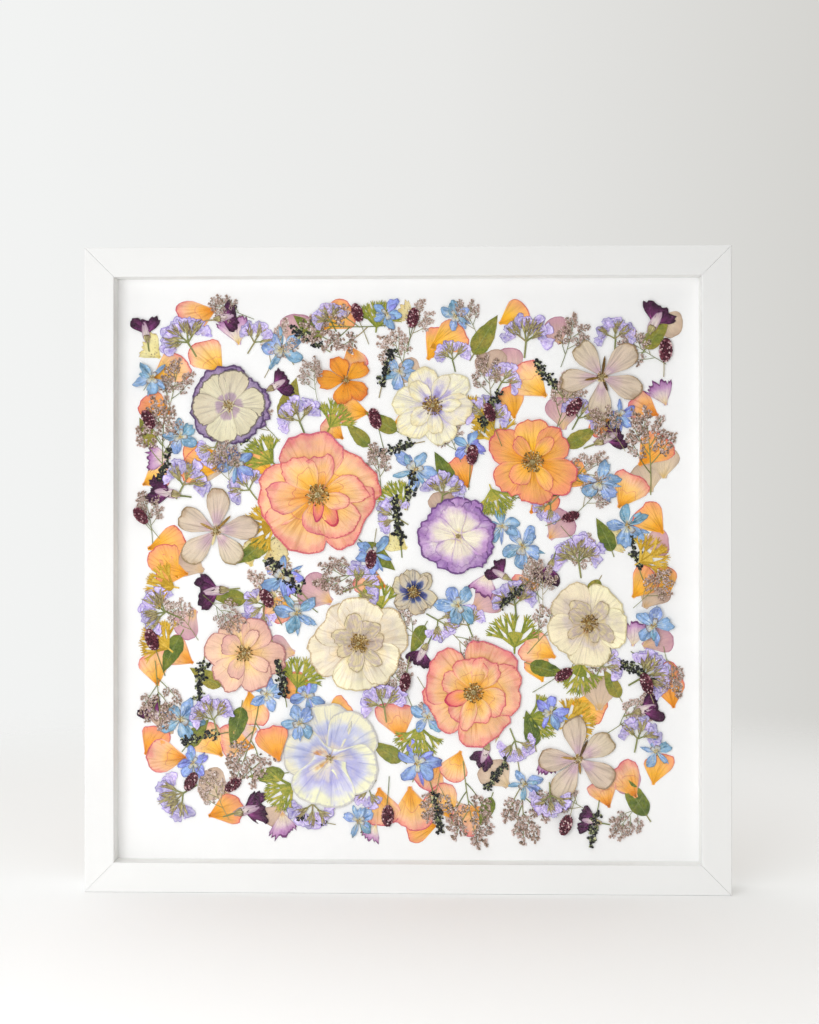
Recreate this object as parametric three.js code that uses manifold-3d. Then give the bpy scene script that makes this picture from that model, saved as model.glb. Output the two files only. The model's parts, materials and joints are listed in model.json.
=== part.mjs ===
// A square box frame with pressed flowers laid flat on a card behind glass.
// Millimetres, +Z up. The frame stands on its bottom rail and faces -Y.
import * as THREE from 'three';
import { mergeVertices } from 'three/addons/utils/BufferGeometryUtils.js';
import Module from 'manifold-3d';

const wasm = await Module();
wasm.setup();

// Moulding
const outer = 500;
const faceWidth = 23;
const railDepth = 35;
const lip = 5;
const rabbet = 6;
const arris = 1;
const mitreGap = 0.1;

// Layers, from the front
const layerGap = 0.2;
const paneSize = outer - 2 * (faceWidth - rabbet) - 2;
const glassThickness = 2;
const spacerDepth = 10;
const spacerWidth = 4.5;
const cardThickness = 1.5;
const backingThickness = 3;
const glassFront = lip + layerGap;
const spacerFront = glassFront + glassThickness + layerGap;
const cardFront = spacerFront + spacerDepth + layerGap;
const backingFront = cardFront + cardThickness + layerGap;

// Framer's points, one pressed into each rail
const pointWidth = 16;
const pointThickness = 0.6;
const pointReach = 9;
const pointBite = 6;
const pointFront = backingFront + backingThickness + 0.3;
const slotGap = 0.3;

// Sawtooth hanger and its nails
const hangerLength = 60;
const hangerHeight = 11;
const hangerThickness = 1;
const hangerTeeth = 7;
const toothDepth = 1.6;
const nailSpacing = 50;
const nailHeadRadius = 1.9;
const nailHeadThickness = 0.7;
const nailShankRadius = 0.75;
const nailLength = 11;
const nailHoleRadius = 1.1;
const hangerFront = railDepth + 0.1;
const nailHeadFront = hangerFront + hangerThickness + 0.1;

// The whole depth is centred on y = 0
const wholeDepth = nailHeadFront + nailHeadThickness;
const frontY = -wholeDepth / 2;
const middleZ = outer / 2;

// Pressed specimens
const bedGap = 0.3;
const petalThickness = 0.7;
const whorlStep = 0.45;
const curveSteps = 2;
const broadCurveSteps = 3;
const headLength = 13;
const headWidth = 5;

const degree = Math.PI / 180;

function finish(color, roughness, metalness = 0) {
  return new THREE.MeshStandardMaterial({ color, roughness, metalness });
}

const finishes = {
  paint: () => finish('#f4f3f0', 0.45),
  glass: () => new THREE.MeshStandardMaterial({
    color: '#f4fbf8', roughness: 0.05, transparent: true, opacity: 0.25,
  }),
  card: () => finish('#f7f5f1', 0.9),
  board: () => finish('#a9875f', 0.85),
  steel: () => finish('#b9bcc0', 0.35, 1),
  brass: () => finish('#c9a455', 0.3, 1),
  apricot: () => finish('#f2b074', 0.75),
  orange: () => finish('#f4a442', 0.75),
  blush: () => finish('#eeb98d', 0.75),
  cream: () => finish('#efe2ad', 0.8),
  lilacCream: () => finish('#dfd8e6', 0.8),
  purple: () => finish('#a884b4', 0.8),
  inkBlue: () => finish('#5a5f96', 0.8),
  mauve: () => finish('#bda394', 0.8),
  larkspur: () => finish('#7fa0cf', 0.75),
  statice: () => finish('#a99bd6', 0.85),
  seaLavender: () => finish('#9a8278', 0.9),
  leaf: () => finish('#6f8a3c', 0.7),
  fern: () => finish('#a5ad45', 0.8),
  maroon: () => finish('#5d2233', 0.85),
  plum: () => finish('#4b2446', 0.75),
  darkGreen: () => finish('#2f332b', 0.9),
};

// Solids

function toSolid(geometry) {
  const bare = geometry.index ? geometry.clone() : geometry;
  bare.deleteAttribute('normal');
  bare.deleteAttribute('uv');
  const merged = mergeVertices(bare, 1e-4);
  return new wasm.Manifold(new wasm.Mesh({
    numProp: 3,
    vertProperties: new Float32Array(merged.attributes.position.array),
    triVerts: new Uint32Array(merged.index.array),
  }));
}

function toGeometry(solid) {
  const mesh = solid.getMesh();
  const geometry = new THREE.BufferGeometry();
  geometry.setAttribute('position', new THREE.BufferAttribute(mesh.vertProperties, 3));
  geometry.setIndex(new THREE.BufferAttribute(mesh.triVerts, 1));
  geometry.computeVertexNormals();
  return geometry;
}

function fuse(solids) {
  return solids.reduce((whole, solid) => whole.add(solid));
}

function extruded(shape, depth, curveSegments = curveSteps) {
  return new THREE.ExtrudeGeometry(shape, { depth, bevelEnabled: false, curveSegments });
}

// Frame

// The moulding in section: x is minus the way in from the outer edge, y the way back.
function mouldingShape() {
  const shape = new THREE.Shape();
  shape.moveTo(0, railDepth);
  shape.lineTo(0, arris);
  shape.absarc(-arris, arris, arris, 0, -Math.PI / 2, true);
  shape.absarc(-faceWidth + arris, arris, arris, -Math.PI / 2, -Math.PI, true);
  shape.lineTo(-faceWidth, lip);
  shape.lineTo(-faceWidth + rabbet, lip);
  shape.lineTo(-faceWidth + rabbet, railDepth);
  shape.closePath();
  return shape;
}

// The bottom rail about the frame's middle, its ends cut to a mitre.
function railGeometry() {
  const rail = extruded(mouldingShape(), outer, 2);
  rail.translate(0, 0, -outer / 2);
  rail.rotateY(Math.PI / 2);
  const position = rail.attributes.position;
  for (let i = 0; i < position.count; i += 1) {
    const inward = position.getZ(i);
    const side = Math.sign(position.getX(i));
    position.setX(i, side * (outer / 2 - inward - mitreGap));
    position.setZ(i, inward - outer / 2);
  }
  return rail;
}

function block(sizeX, sizeY, sizeZ, x, y, z) {
  return new THREE.BoxGeometry(sizeX, sizeY, sizeZ).translate(x, y, z);
}

const wallZ = -outer / 2 + faceWidth - rabbet;

function slotTool() {
  const width = pointWidth + 2 * slotGap;
  const thickness = pointThickness + 2 * slotGap;
  const bite = pointBite + slotGap;
  const middleY = pointFront + pointThickness / 2;
  return toSolid(block(width, thickness, 2 * bite, 0, middleY, wallZ));
}

function nailHoleTool(x) {
  const hole = new THREE.CylinderGeometry(nailHoleRadius, nailHoleRadius, 2 * nailLength, 8);
  return toSolid(hole.translate(x, railDepth, -outer / 2 + (faceWidth - rabbet) / 2));
}

function plainRail() {
  return toSolid(railGeometry()).subtract(slotTool());
}

function hangingRail() {
  return plainRail()
    .subtract(nailHoleTool(-nailSpacing / 2))
    .subtract(nailHoleTool(nailSpacing / 2));
}

// A flat steel tab with a point at the end that is pressed into the rail.
function pointGeometry() {
  const half = pointWidth / 2;
  const shape = new THREE.Shape();
  shape.moveTo(-half, pointReach);
  shape.lineTo(-half, -pointBite * 0.3);
  shape.lineTo(0, -pointBite);
  shape.lineTo(half, -pointBite * 0.3);
  shape.lineTo(half, pointReach);
  shape.closePath();
  const tab = extruded(shape, pointThickness);
  tab.rotateX(Math.PI / 2);
  tab.translate(0, pointFront + pointThickness, wallZ);
  return tab;
}

// The hanger plate: a straight upper edge, saw teeth below and a hole at each end.
function hangerGeometry() {
  const half = hangerLength / 2;
  const shape = new THREE.Shape();
  const margin = 9;
  const pitch = (hangerLength - 2 * margin) / hangerTeeth;
  shape.moveTo(-half, hangerHeight);
  shape.lineTo(-half, 2);
  shape.lineTo(-half + margin, 0);
  for (let i = 0; i < hangerTeeth; i += 1) {
    const start = -half + margin + i * pitch;
    shape.lineTo(start + pitch / 2, toothDepth);
    shape.lineTo(start + pitch, 0);
  }
  shape.lineTo(half, 2);
  shape.lineTo(half, hangerHeight);
  shape.closePath();
  for (const side of [-1, 1]) {
    const hole = new THREE.Path();
    hole.absarc(side * nailSpacing / 2, hangerHeight * 0.6, nailHoleRadius, 0, 2 * Math.PI, true);
    shape.holes.push(hole);
  }
  const plate = extruded(shape, hangerThickness, 4);
  plate.rotateX(Math.PI / 2);
  plate.translate(0, hangerFront + hangerThickness, 0);
  return plate;
}

function nailGeometry() {
  const profile = [
    [0, 0], [nailHeadRadius, 0], [nailHeadRadius, nailHeadThickness],
    [nailShankRadius, nailHeadThickness], [0, nailLength],
  ].map(([x, y]) => new THREE.Vector2(x, y));
  const nail = new THREE.LatheGeometry(profile, 8);
  nail.rotateX(Math.PI);
  return nail;
}

// Pressed petals, leaves and stems, drawn flat: x to the right, y up, z off the card

// A petal that grows up from its foot at the origin.
function petalShape({ length, width, foot = 0.2, belly = 0.62, notch = 0 }) {
  const half = width / 2;
  const widest = length * belly;
  const crown = widest + (length - widest) * 0.55;
  const shape = new THREE.Shape();
  shape.moveTo(-half * foot, 0);
  shape.bezierCurveTo(-half * foot, widest * 0.4, -half, widest * 0.6, -half, widest);
  shape.bezierCurveTo(-half, crown, -half * 0.55, length, 0, length * (1 - notch));
  shape.bezierCurveTo(half * 0.55, length, half, crown, half, widest);
  shape.bezierCurveTo(half, widest * 0.6, half * foot, widest * 0.4, half * foot, 0);
  return shape;
}

// An outline alike on both sides, from the points of its right half, foot first.
function evenShape(half) {
  const left = half.filter(([x]) => x > 0).map(([x, y]) => [-x, y]).reverse();
  return new THREE.Shape([...half, ...left].map(([x, y]) => new THREE.Vector2(x, y)));
}

function leafShape({ length, width }) {
  const half = width / 2;
  const shape = new THREE.Shape();
  shape.moveTo(0, 0);
  shape.bezierCurveTo(-half * 1.3, length * 0.2, -half * 1.2, length * 0.65, 0, length);
  shape.bezierCurveTo(half * 1.2, length * 0.65, half * 1.3, length * 0.2, 0, 0);
  return shape;
}

function slab(shape, { turn = 0, x = 0, y = 0, z = 0, steps = curveSteps }) {
  const geometry = extruded(shape, petalThickness, steps);
  geometry.rotateZ(turn * degree);
  geometry.translate(x, y, z);
  return toSolid(geometry);
}

function bar(from, to, widthFrom, widthTo, z = 0) {
  const along = new THREE.Vector2(to[0] - from[0], to[1] - from[1]);
  const length = along.length();
  const turn = Math.atan2(-along.x, along.y) / degree;
  const shape = new THREE.Shape();
  shape.moveTo(-widthFrom / 2, 0);
  shape.lineTo(widthFrom / 2, 0);
  shape.lineTo(widthTo / 2, length);
  shape.lineTo(-widthTo / 2, length);
  shape.closePath();
  return slab(shape, { turn, x: from[0], y: from[1], z });
}

// The pressed eye that joins a flower's whorls, a low button set into the lowest petals.
function eyeButton(radius, whorlCount) {
  const sole = petalThickness / 2;
  const rim = whorlCount * whorlStep + 0.3;
  const profile = [[0, sole], [radius, sole], [radius, rim], [0, rim + 0.8]];
  const sides = Math.max(6, Math.round(radius));
  const button = new THREE.LatheGeometry(profile.map(([x, y]) => new THREE.Vector2(x, y)), sides);
  return toSolid(button.rotateX(Math.PI / 2));
}

function polar(turn, reach, x = 0, y = 0) {
  return [x - reach * Math.sin(turn * degree), y + reach * Math.cos(turn * degree)];
}

// Each petal of a whorl leans and grows a little unlike the next.
function sway(i, seed) {
  return Math.sin(seed + i * 2.4);
}

function petalOfWhorl(i, { count, turn, lean = 5, length, ...petal }, seed) {
  return {
    angle: turn - 360 * i / count + lean * sway(i + 1, seed),
    shape: petalShape({ ...petal, length: length * (0.96 + 0.04 * sway(i, seed)) }),
  };
}

// Petals that overlap, each a slab.
function whorl({ steps, ...ring }, level, seed) {
  const petals = [];
  for (let i = 0; i < ring.count; i += 1) {
    const { angle, shape } = petalOfWhorl(i, ring, seed);
    petals.push(slab(shape, { turn: angle, z: level * whorlStep, steps }));
  }
  return petals;
}

// Petals that stay apart, as one slab with a valley between each two.
function openWhorl(ring, seed) {
  const points = [];
  const centre = new THREE.Vector2();
  for (let i = 0; i < ring.count; i += 1) {
    const { angle, shape } = petalOfWhorl(i, ring, seed);
    const rim = shape.getPoints(curveSteps).slice(2, -2);
    rim.forEach((point) => points.push(point.rotateAround(centre, angle * degree)));
    points.push(new THREE.Vector2(...polar(ring.turn - 360 * (i + 0.5) / ring.count, ring.valley)));
  }
  return slab(new THREE.Shape(points), {});
}

// An open flower: whorls of petals from the back, and the eye.
function flower({ whorls, eye, seed = 0 }) {
  const parts = whorls.flatMap((ring, level) => (
    ring.valley ? openWhorl(ring, seed + level) : whorl(ring, level, seed + level)
  ));
  parts.push(eyeButton(eye, whorls.length));
  return fuse(parts);
}

// A flower whose petals differ: each has its own turn and size.
function unevenFlower({ petals, eye }) {
  const parts = petals.map(({ turn, level, ...petal }) => (
    slab(petalShape(petal), { turn, z: level * whorlStep, steps: broadCurveSteps })
  ));
  parts.push(eyeButton(eye, 2));
  return fuse(parts);
}

// Papery fans on a forked stem.
function staticeSprig({ reach, heads, spread }) {
  const stalk = reach * 0.5;
  const half = reach * 0.26;
  const fan = evenShape([
    [0.8, 0], [1.3, stalk], [half, reach * 0.88], [half * 0.45, reach], [0, reach * 0.95],
  ]);
  const parts = [bar([0, -stalk], [0, 1], 1.4, 1.8)];
  for (let i = 0; i < heads; i += 1) {
    parts.push(slab(fan, { turn: spread * (i / (heads - 1) - 0.5) }));
  }
  return fuse(parts);
}

// A thin twig that ends in a narrow head of tiny florets.
function headedTwig(reach, { turn, x, y }) {
  const half = headWidth / 2;
  const twig = [[0.5, 0], [0.4, reach], [half, reach + headLength * 0.45], [0, reach + headLength]];
  return slab(evenShape(twig), { turn, x, y });
}

// A stem with side twigs and a head on each.
function lavenderSpray({ length, twigs, bend }) {
  const stemTurn = -Math.atan2(bend, length) / degree;
  const parts = [headedTwig(length, { turn: stemTurn })];
  for (let i = 0; i < twigs; i += 1) {
    const side = i % 2 ? 1 : -1;
    const along = 0.34 + 0.52 * i / (twigs - 1);
    const turn = -side * (46 - 10 * along);
    const reach = length * (0.42 - 0.24 * along);
    parts.push(headedTwig(reach, { turn, x: bend * along, y: length * along }));
  }
  return fuse(parts);
}

// A leaf on its stalk.
function leaf({ length, width }) {
  return fuse([
    slab(leafShape({ length, width }), {}),
    bar([0, -length * 0.16], [0, length * 0.5], 1.2, 0.7, whorlStep),
  ]);
}

// A two-lipped bloom seen from its side, with calyx and stalk.
function snapdragon({ length }) {
  const mouth = polar(0, length * 0.42);
  const lobe = { length: length * 0.55, width: length * 0.5, foot: 0.5, belly: 0.6 };
  const parts = [
    bar([0, -length * 0.34], [0, 1], 1.2, 1.6),
    slab(petalShape({ length: length * 0.26, width: length * 0.24, foot: 0.4 }), { z: whorlStep, steps: 1 }),
    slab(petalShape({ length: length * 0.62, width: length * 0.36, foot: 0.5 }), {}),
  ];
  [-58, 0, 54].forEach((turn) => {
    parts.push(slab(petalShape(lobe), { turn, x: mouth[0], y: mouth[1] }));
  });
  return fuse(parts);
}

// A tight oval head on a thin bent stem.
function burnet({ length, width, stem }) {
  const head = new THREE.SphereGeometry(width / 2, 10, 6);
  head.scale(1, length / width, 0.34);
  head.translate(0, stem + length * 0.45, width * 0.17);
  return fuse([bar([0, 0], [0, stem + 2], 0.9, 0.9), toSolid(head)]);
}

// A crowded dark spike: small seed cases along a stem.
function darkSpike({ length, cases }) {
  const seedCase = evenShape([[0.5, 0], [2.2, 3.6], [0, 7.5]]);
  const parts = [bar([0, 0], [0, length], 1.3, 0.9)];
  for (let i = 0; i < cases; i += 1) {
    const along = length * (0.26 + 0.66 * i / (cases - 1));
    const side = i % 2 ? 1 : -1;
    parts.push(slab(seedCase, { turn: -side * 48, y: along }));
  }
  return fuse(parts);
}

// A fan of narrow forked leaflets.
function fernTuft({ length, leaflets, spread }) {
  const parts = [bar([0, -length * 0.2], [0, 2], 1.3, 1.5)];
  for (let i = 0; i < leaflets; i += 1) {
    const angle = spread * (i / (leaflets - 1) - 0.5);
    const tip = polar(angle, length * (1 - 0.2 * Math.abs(angle) / spread));
    parts.push(bar([0, 0], tip, 1.4, 1.1));
    for (const side of [-1, 1]) {
      const fork = polar(angle, length * 0.5);
      parts.push(bar(fork, polar(angle + side * 24, length * 0.4, fork[0], fork[1]), 1.1, 0.9));
    }
  }
  return fuse(parts);
}

// Blooms: their whorls and where they lie, from the card's centre

const blooms = {
  rose_apricot: {
    at: [-70, 58], turn: 12, colour: 'apricot', eye: 9, seed: 1,
    whorls: [
      { count: 5, turn: 0, length: 52, width: 52, belly: 0.6, steps: broadCurveSteps },
      { count: 5, turn: 34, length: 40, width: 36, belly: 0.62 },
    ],
  },
  rose_peach: {
    at: [52, -96], turn: -20, colour: 'apricot', eye: 8, seed: 2,
    whorls: [
      { count: 5, turn: 0, length: 45, width: 45, belly: 0.6, steps: broadCurveSteps },
      { count: 5, turn: 36, length: 34, width: 30, belly: 0.62 },
    ],
  },
  rose_orange: {
    at: [98, 84], turn: 5, colour: 'orange', eye: 8, seed: 3,
    whorls: [
      { count: 6, turn: 0, length: 37, width: 31, belly: 0.62 },
      { count: 4, turn: 40, length: 26, width: 22, belly: 0.6 },
    ],
  },
  rose_blush: {
    at: [-128, -66], turn: 24, colour: 'blush', eye: 7, seed: 4,
    whorls: [
      { count: 5, turn: 0, length: 33, width: 32, belly: 0.62 },
      { count: 5, turn: 36, length: 23, width: 20, belly: 0.62 },
    ],
  },
  rose_cream: {
    at: [-38, -58], turn: -8, colour: 'cream', eye: 8, seed: 5,
    whorls: [
      { count: 6, turn: 0, length: 40, width: 38, belly: 0.6, steps: broadCurveSteps },
      { count: 5, turn: 26, length: 26, width: 19, belly: 0.6 },
    ],
  },
  rose_ivory: {
    at: [20, 128], turn: 18, colour: 'cream', eye: 7, seed: 6,
    whorls: [
      { count: 6, turn: 0, length: 34, width: 31, belly: 0.62 },
      { count: 4, turn: 30, length: 23, width: 18, belly: 0.6 },
    ],
  },
  rose_tea: {
    at: [142, -42], turn: 40, colour: 'cream', eye: 7, seed: 7,
    whorls: [
      { count: 5, turn: 0, length: 34, width: 34, belly: 0.62 },
      { count: 5, turn: 34, length: 23, width: 18, belly: 0.6 },
    ],
  },
  pinks_purple: {
    at: [40, 26], turn: 0, colour: 'purple', eye: 5, seed: 8,
    whorls: [
      { count: 7, turn: 0, lean: 3, length: 31, width: 34, belly: 0.72, foot: 0.3 },
      { count: 5, turn: 20, lean: 3, length: 26, width: 22, belly: 0.72, foot: 0.3 },
    ],
  },
  pinks_cream: {
    at: [-140, 128], turn: 14, colour: 'cream', eye: 5, seed: 9,
    whorls: [
      { count: 6, turn: 0, lean: 3, length: 32, width: 36, belly: 0.7, foot: 0.3 },
      { count: 5, turn: 30, lean: 3, length: 27, width: 23, belly: 0.72, foot: 0.3 },
    ],
  },
  nigella: {
    at: [5, -18], turn: 10, colour: 'inkBlue', eye: 6, seed: 10,
    whorls: [
      { count: 6, turn: 0, length: 20, width: 16, belly: 0.62 },
    ],
  },
  cosmos: {
    at: [-48, 148], turn: 20, colour: 'orange', eye: 3.5, seed: 11,
    whorls: [
      { count: 5, turn: 0, length: 23, width: 18, belly: 0.66, notch: 0.08 },
    ],
  },
};

const mauveWhorl = {
  count: 5, turn: 0, lean: 7, length: 36, width: 21, belly: 0.68, foot: 0.14, valley: 4.6,
};
const mauves = {
  mauve_upper: { at: [152, 150], turn: 30, seed: 12 },
  mauve_left: { at: [-150, 30], turn: -6, seed: 13 },
  mauve_lower: { at: [134, -148], turn: 14, seed: 14 },
};

const pansy = {
  at: [-60, -148], turn: -14, eye: 5,
  petals: [
    { turn: 24, level: 0, length: 42, width: 44, belly: 0.62, foot: 0.4 },
    { turn: -30, level: 0, length: 42, width: 44, belly: 0.62, foot: 0.4 },
    { turn: 92, level: 1, length: 38, width: 40, belly: 0.62, foot: 0.4 },
    { turn: -96, level: 1, length: 38, width: 40, belly: 0.62, foot: 0.4 },
    { turn: 180, level: 1, length: 40, width: 52, belly: 0.62, foot: 0.5, notch: 0.08 },
  ],
};

const larkspurWhorl = {
  count: 5, turn: 0, lean: 6, length: 18, width: 11, belly: 0.6, foot: 0.15, valley: 3.6,
};
const larkspurs = [
  { at: [-98, 172], turn: 10 },
  { at: [6, 78], turn: 40 },
  { at: [-98, -6], turn: 62 },
  { at: [172, 34], turn: 18 },
  { at: [-178, -118], turn: 50 },
  { at: [8, -152], turn: 5 },
  { at: [90, 18], turn: 33 },
];

const statices = [
  { at: [-172, 178], turn: 30 },
  { at: [93, 178], turn: -6 },
  { at: [-190, -34], turn: 70 },
  { at: [184, -84], turn: -60 },
  { at: [134, 6], turn: 8 },
  { at: [-176, -176], turn: 120 },
];

const sprays = [
  { at: [-14, 191], turn: 95, bend: 5 },
  { at: [190, 58], turn: -2, bend: -5 },
  { at: [-116, -104], turn: 172, bend: 8 },
  { at: [44, -150], turn: 184, bend: -5 },
  { at: [86, -146], turn: 190, bend: 5 },
  { at: [-196, 66], turn: 8, bend: 5 },
];

const leaves = [
  { at: [52, 168], turn: -32 },
  { at: [-98, 116], turn: -22 },
  { at: [187, -192], turn: 33 },
];

const snapdragons = [
  { at: [146, 98], turn: -66 },
  { at: [-136, -192], turn: -74 },
];

const group = new THREE.Group();

function addTo(parent, name, geometry, material, { x = 0, y = 0, z = 0 } = {}) {
  const mesh = new THREE.Mesh(geometry, material);
  mesh.name = name;
  mesh.position.set(x, y, z);
  parent.add(mesh);
  return mesh;
}

// Rails, points: one pair on each side, turned about the frame's middle
const sides = ['bottom', 'left', 'top', 'right'];
const middle = new THREE.Group();
middle.position.set(0, frontY, middleZ);
group.add(middle);
sides.forEach((side, i) => {
  const solid = side === 'top' ? hangingRail() : plainRail();
  const rail = addTo(middle, `rail_${side}`, toGeometry(solid), finishes.paint());
  rail.rotation.y = i * Math.PI / 2;
  const point = addTo(middle, `framer_point_${side}`, pointGeometry(), finishes.steel());
  point.rotation.y = i * Math.PI / 2;
});

function layer(name, thickness, front, material) {
  const sheet = new THREE.BoxGeometry(paneSize, thickness, paneSize);
  addTo(middle, name, sheet, material, { y: front + thickness / 2 });
}

layer('glass_pane', glassThickness, glassFront, finishes.glass());
layer('mount_card', cardThickness, cardFront, finishes.card());
layer('backing_board', backingThickness, backingFront, finishes.board());

const spacerOffset = (paneSize - spacerWidth) / 2;
const shortSpacer = paneSize - 2 * (spacerWidth + layerGap);
sides.forEach((side, i) => {
  const length = i % 2 ? shortSpacer : paneSize;
  const strip = block(length, spacerDepth, spacerWidth, 0, spacerFront + spacerDepth / 2, -spacerOffset);
  const spacer = addTo(middle, `spacer_${side}`, strip, finishes.paint());
  spacer.rotation.y = i * Math.PI / 2;
});

// Hanger on the back of the top rail
const nailZ = outer / 2 - (faceWidth - rabbet) / 2;
addTo(middle, 'sawtooth_hanger', hangerGeometry(), finishes.brass(), {
  z: nailZ - hangerHeight * 0.6,
});
[['left', 1], ['right', -1]].forEach(([side, sign]) => {
  addTo(middle, `hanger_nail_${side}`, nailGeometry(), finishes.brass(), {
    x: sign * nailSpacing / 2, y: nailHeadFront + nailHeadThickness, z: nailZ,
  });
});

// Specimens lie on the card: local x to the right, y up, z off the card
const bed = new THREE.Group();
bed.position.set(0, frontY + cardFront, middleZ);
bed.rotation.x = Math.PI / 2;
group.add(bed);

function lay(name, solid, colour, { at, turn, lift = bedGap }) {
  const mesh = addTo(bed, name, toGeometry(solid), finishes[colour](), {
    x: at[0], y: at[1], z: lift,
  });
  mesh.rotation.z = turn * degree;
}

for (const [name, bloom] of Object.entries(blooms)) {
  lay(name, flower(bloom), bloom.colour, bloom);
}
for (const [name, bloom] of Object.entries(mauves)) {
  lay(name, flower({ whorls: [mauveWhorl], eye: 4, seed: bloom.seed }), 'mauve', bloom);
}
lay('pansy', unevenFlower(pansy), 'lilacCream', pansy);
larkspurs.forEach((bloom, i) => {
  const solid = flower({ whorls: [larkspurWhorl], eye: 3, seed: 20 + i });
  lay(`larkspur_${i + 1}`, solid, 'larkspur', bloom);
});
statices.forEach((sprig, i) => {
  lay(`statice_${i + 1}`, staticeSprig({ reach: 26, heads: 4, spread: 110 }), 'statice', sprig);
});
sprays.forEach((spray, i) => {
  const solid = lavenderSpray({ length: 52, twigs: 4, bend: spray.bend });
  lay(`sea_lavender_${i + 1}`, solid, 'seaLavender', spray);
});
leaves.forEach((blade, i) => {
  lay(`leaf_${i + 1}`, leaf({ length: 36, width: 16 }), 'leaf', blade);
});
snapdragons.forEach((bloom, i) => {
  lay(`snapdragon_${i + 1}`, snapdragon({ length: 26 }), 'plum', bloom);
});
lay('burnet_head', burnet({ length: 15, width: 8, stem: 26 }), 'maroon', { at: [-16, 86], turn: 16 });
lay('dark_spike', darkSpike({ length: 44, cases: 8 }), 'darkGreen', { at: [-4, 9], turn: 4 });
lay('fern_tuft', fernTuft({ length: 30, leaflets: 4, spread: 110 }), 'fern', { at: [84, -60], turn: 0 });

export default group;
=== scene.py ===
import json
import math
import random
from functools import partial

import bmesh
import bpy
from mathutils import Matrix, Vector, noise
from mathutils.geometry import interpolate_bezier


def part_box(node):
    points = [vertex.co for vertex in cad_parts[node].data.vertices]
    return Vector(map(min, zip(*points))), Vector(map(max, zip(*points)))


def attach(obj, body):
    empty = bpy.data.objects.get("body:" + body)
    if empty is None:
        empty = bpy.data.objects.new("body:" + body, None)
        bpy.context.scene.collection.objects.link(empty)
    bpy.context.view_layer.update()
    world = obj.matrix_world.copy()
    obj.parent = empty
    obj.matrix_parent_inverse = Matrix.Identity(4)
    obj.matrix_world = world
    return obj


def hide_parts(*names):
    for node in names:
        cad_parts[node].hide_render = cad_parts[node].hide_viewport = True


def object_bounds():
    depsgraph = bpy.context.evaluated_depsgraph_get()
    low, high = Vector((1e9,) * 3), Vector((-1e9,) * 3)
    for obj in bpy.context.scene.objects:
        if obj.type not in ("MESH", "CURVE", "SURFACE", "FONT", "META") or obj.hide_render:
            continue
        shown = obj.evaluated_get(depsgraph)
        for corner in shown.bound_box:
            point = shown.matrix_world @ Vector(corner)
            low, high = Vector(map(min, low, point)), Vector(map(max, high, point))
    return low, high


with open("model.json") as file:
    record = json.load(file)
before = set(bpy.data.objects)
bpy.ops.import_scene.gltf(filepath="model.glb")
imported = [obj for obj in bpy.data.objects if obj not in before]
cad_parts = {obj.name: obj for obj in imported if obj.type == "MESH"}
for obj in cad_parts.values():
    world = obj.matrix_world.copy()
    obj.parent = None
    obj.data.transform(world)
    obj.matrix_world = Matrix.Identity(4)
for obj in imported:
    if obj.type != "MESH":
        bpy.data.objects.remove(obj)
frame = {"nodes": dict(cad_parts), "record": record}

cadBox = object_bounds()
nodes = frame["nodes"]
mm = 0.001

# The card is the bed that every specimen lies on: x to the right, y up, z off the card, in millimetres.
# Pressing takes a third off every height.
pressed = 0.65
cardLow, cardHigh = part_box("mount_card")
cardMiddle = (cardLow + cardHigh) / 2
bed = (
    Matrix.Translation((cardMiddle.x, cardLow.y, cardMiddle.z))
    @ Matrix.Rotation(math.radians(90), 4, "X")
    @ Matrix.Diagonal((mm, mm, mm * pressed, 1))
)


def toLinear(hexColour):
    channels = [int(hexColour[i:i + 2], 16) / 255 for i in (1, 3, 5)]
    return (*[c / 12.92 if c <= 0.04045 else ((c + 0.055) / 1.055) ** 2.4 for c in channels], 1)


def addNode(tree, kind, settings=None, links=None):
    # A key is a socket's name or number, or a property of the node. On a map range, 1 and 2 are what goes in,
    # 3 and 4 what comes out. On a mix of colours, 0 is the share and 6 and 7 are the colours.
    node = tree.nodes.new(kind)
    for key, value in (settings or {}).items():
        if key == "stops":
            ramp = node.color_ramp
            while len(ramp.elements) < len(value):
                ramp.elements.new(1)
            for element, (position, colour) in zip(ramp.elements, value):
                element.position = position
                element.color = toLinear(colour)
        elif isinstance(key, int) or key in node.inputs:
            node.inputs[key].default_value = value
        else:
            setattr(node, key, value)
    for key, source in (links or {}).items():
        socket = source if isinstance(source, bpy.types.NodeSocket) else source.outputs[0]
        tree.links.new(socket, node.inputs[key])
    return node


def startMaterial(name):
    material = bpy.data.materials.new(name)
    material.use_nodes = True
    material.node_tree.nodes.clear()
    return material, partial(addNode, material.node_tree)


print("stage: camera, light and floor")

# A level camera, a little above the frame's middle and to the right of it
cameraView = {
    "distance": 1.15, "height": 0.2948, "aside": 0.0023, "turn": 1.35, "lens": 52.4, "sensor": 36,
}
# Light from all round, brighter from the left, from above and from behind the frame
skyLight = {
    "stops": [(0.1, "#fbfbfb"), (0.37, "#f2f3f2"), (0.5, "#e9e9e7"), (0.63, "#d3d2ce"), (0.9, "#c2bfba")],
    "front": 0.64, "behind": 1.0, "overhead": 0.57,
}
# A soft lamp in front on the left, for the short shadows under petals and lip
keyLight = {"at": (-0.38, -0.95, 0.33), "size": 0.6, "power": 4.38, "colour": (0.985, 0.99, 1.0)}
floorDisc = {"radius": 2.6, "fadeFrom": 0.5, "fadeTo": 1.2, "colour": "#fbfbfb"}


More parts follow.
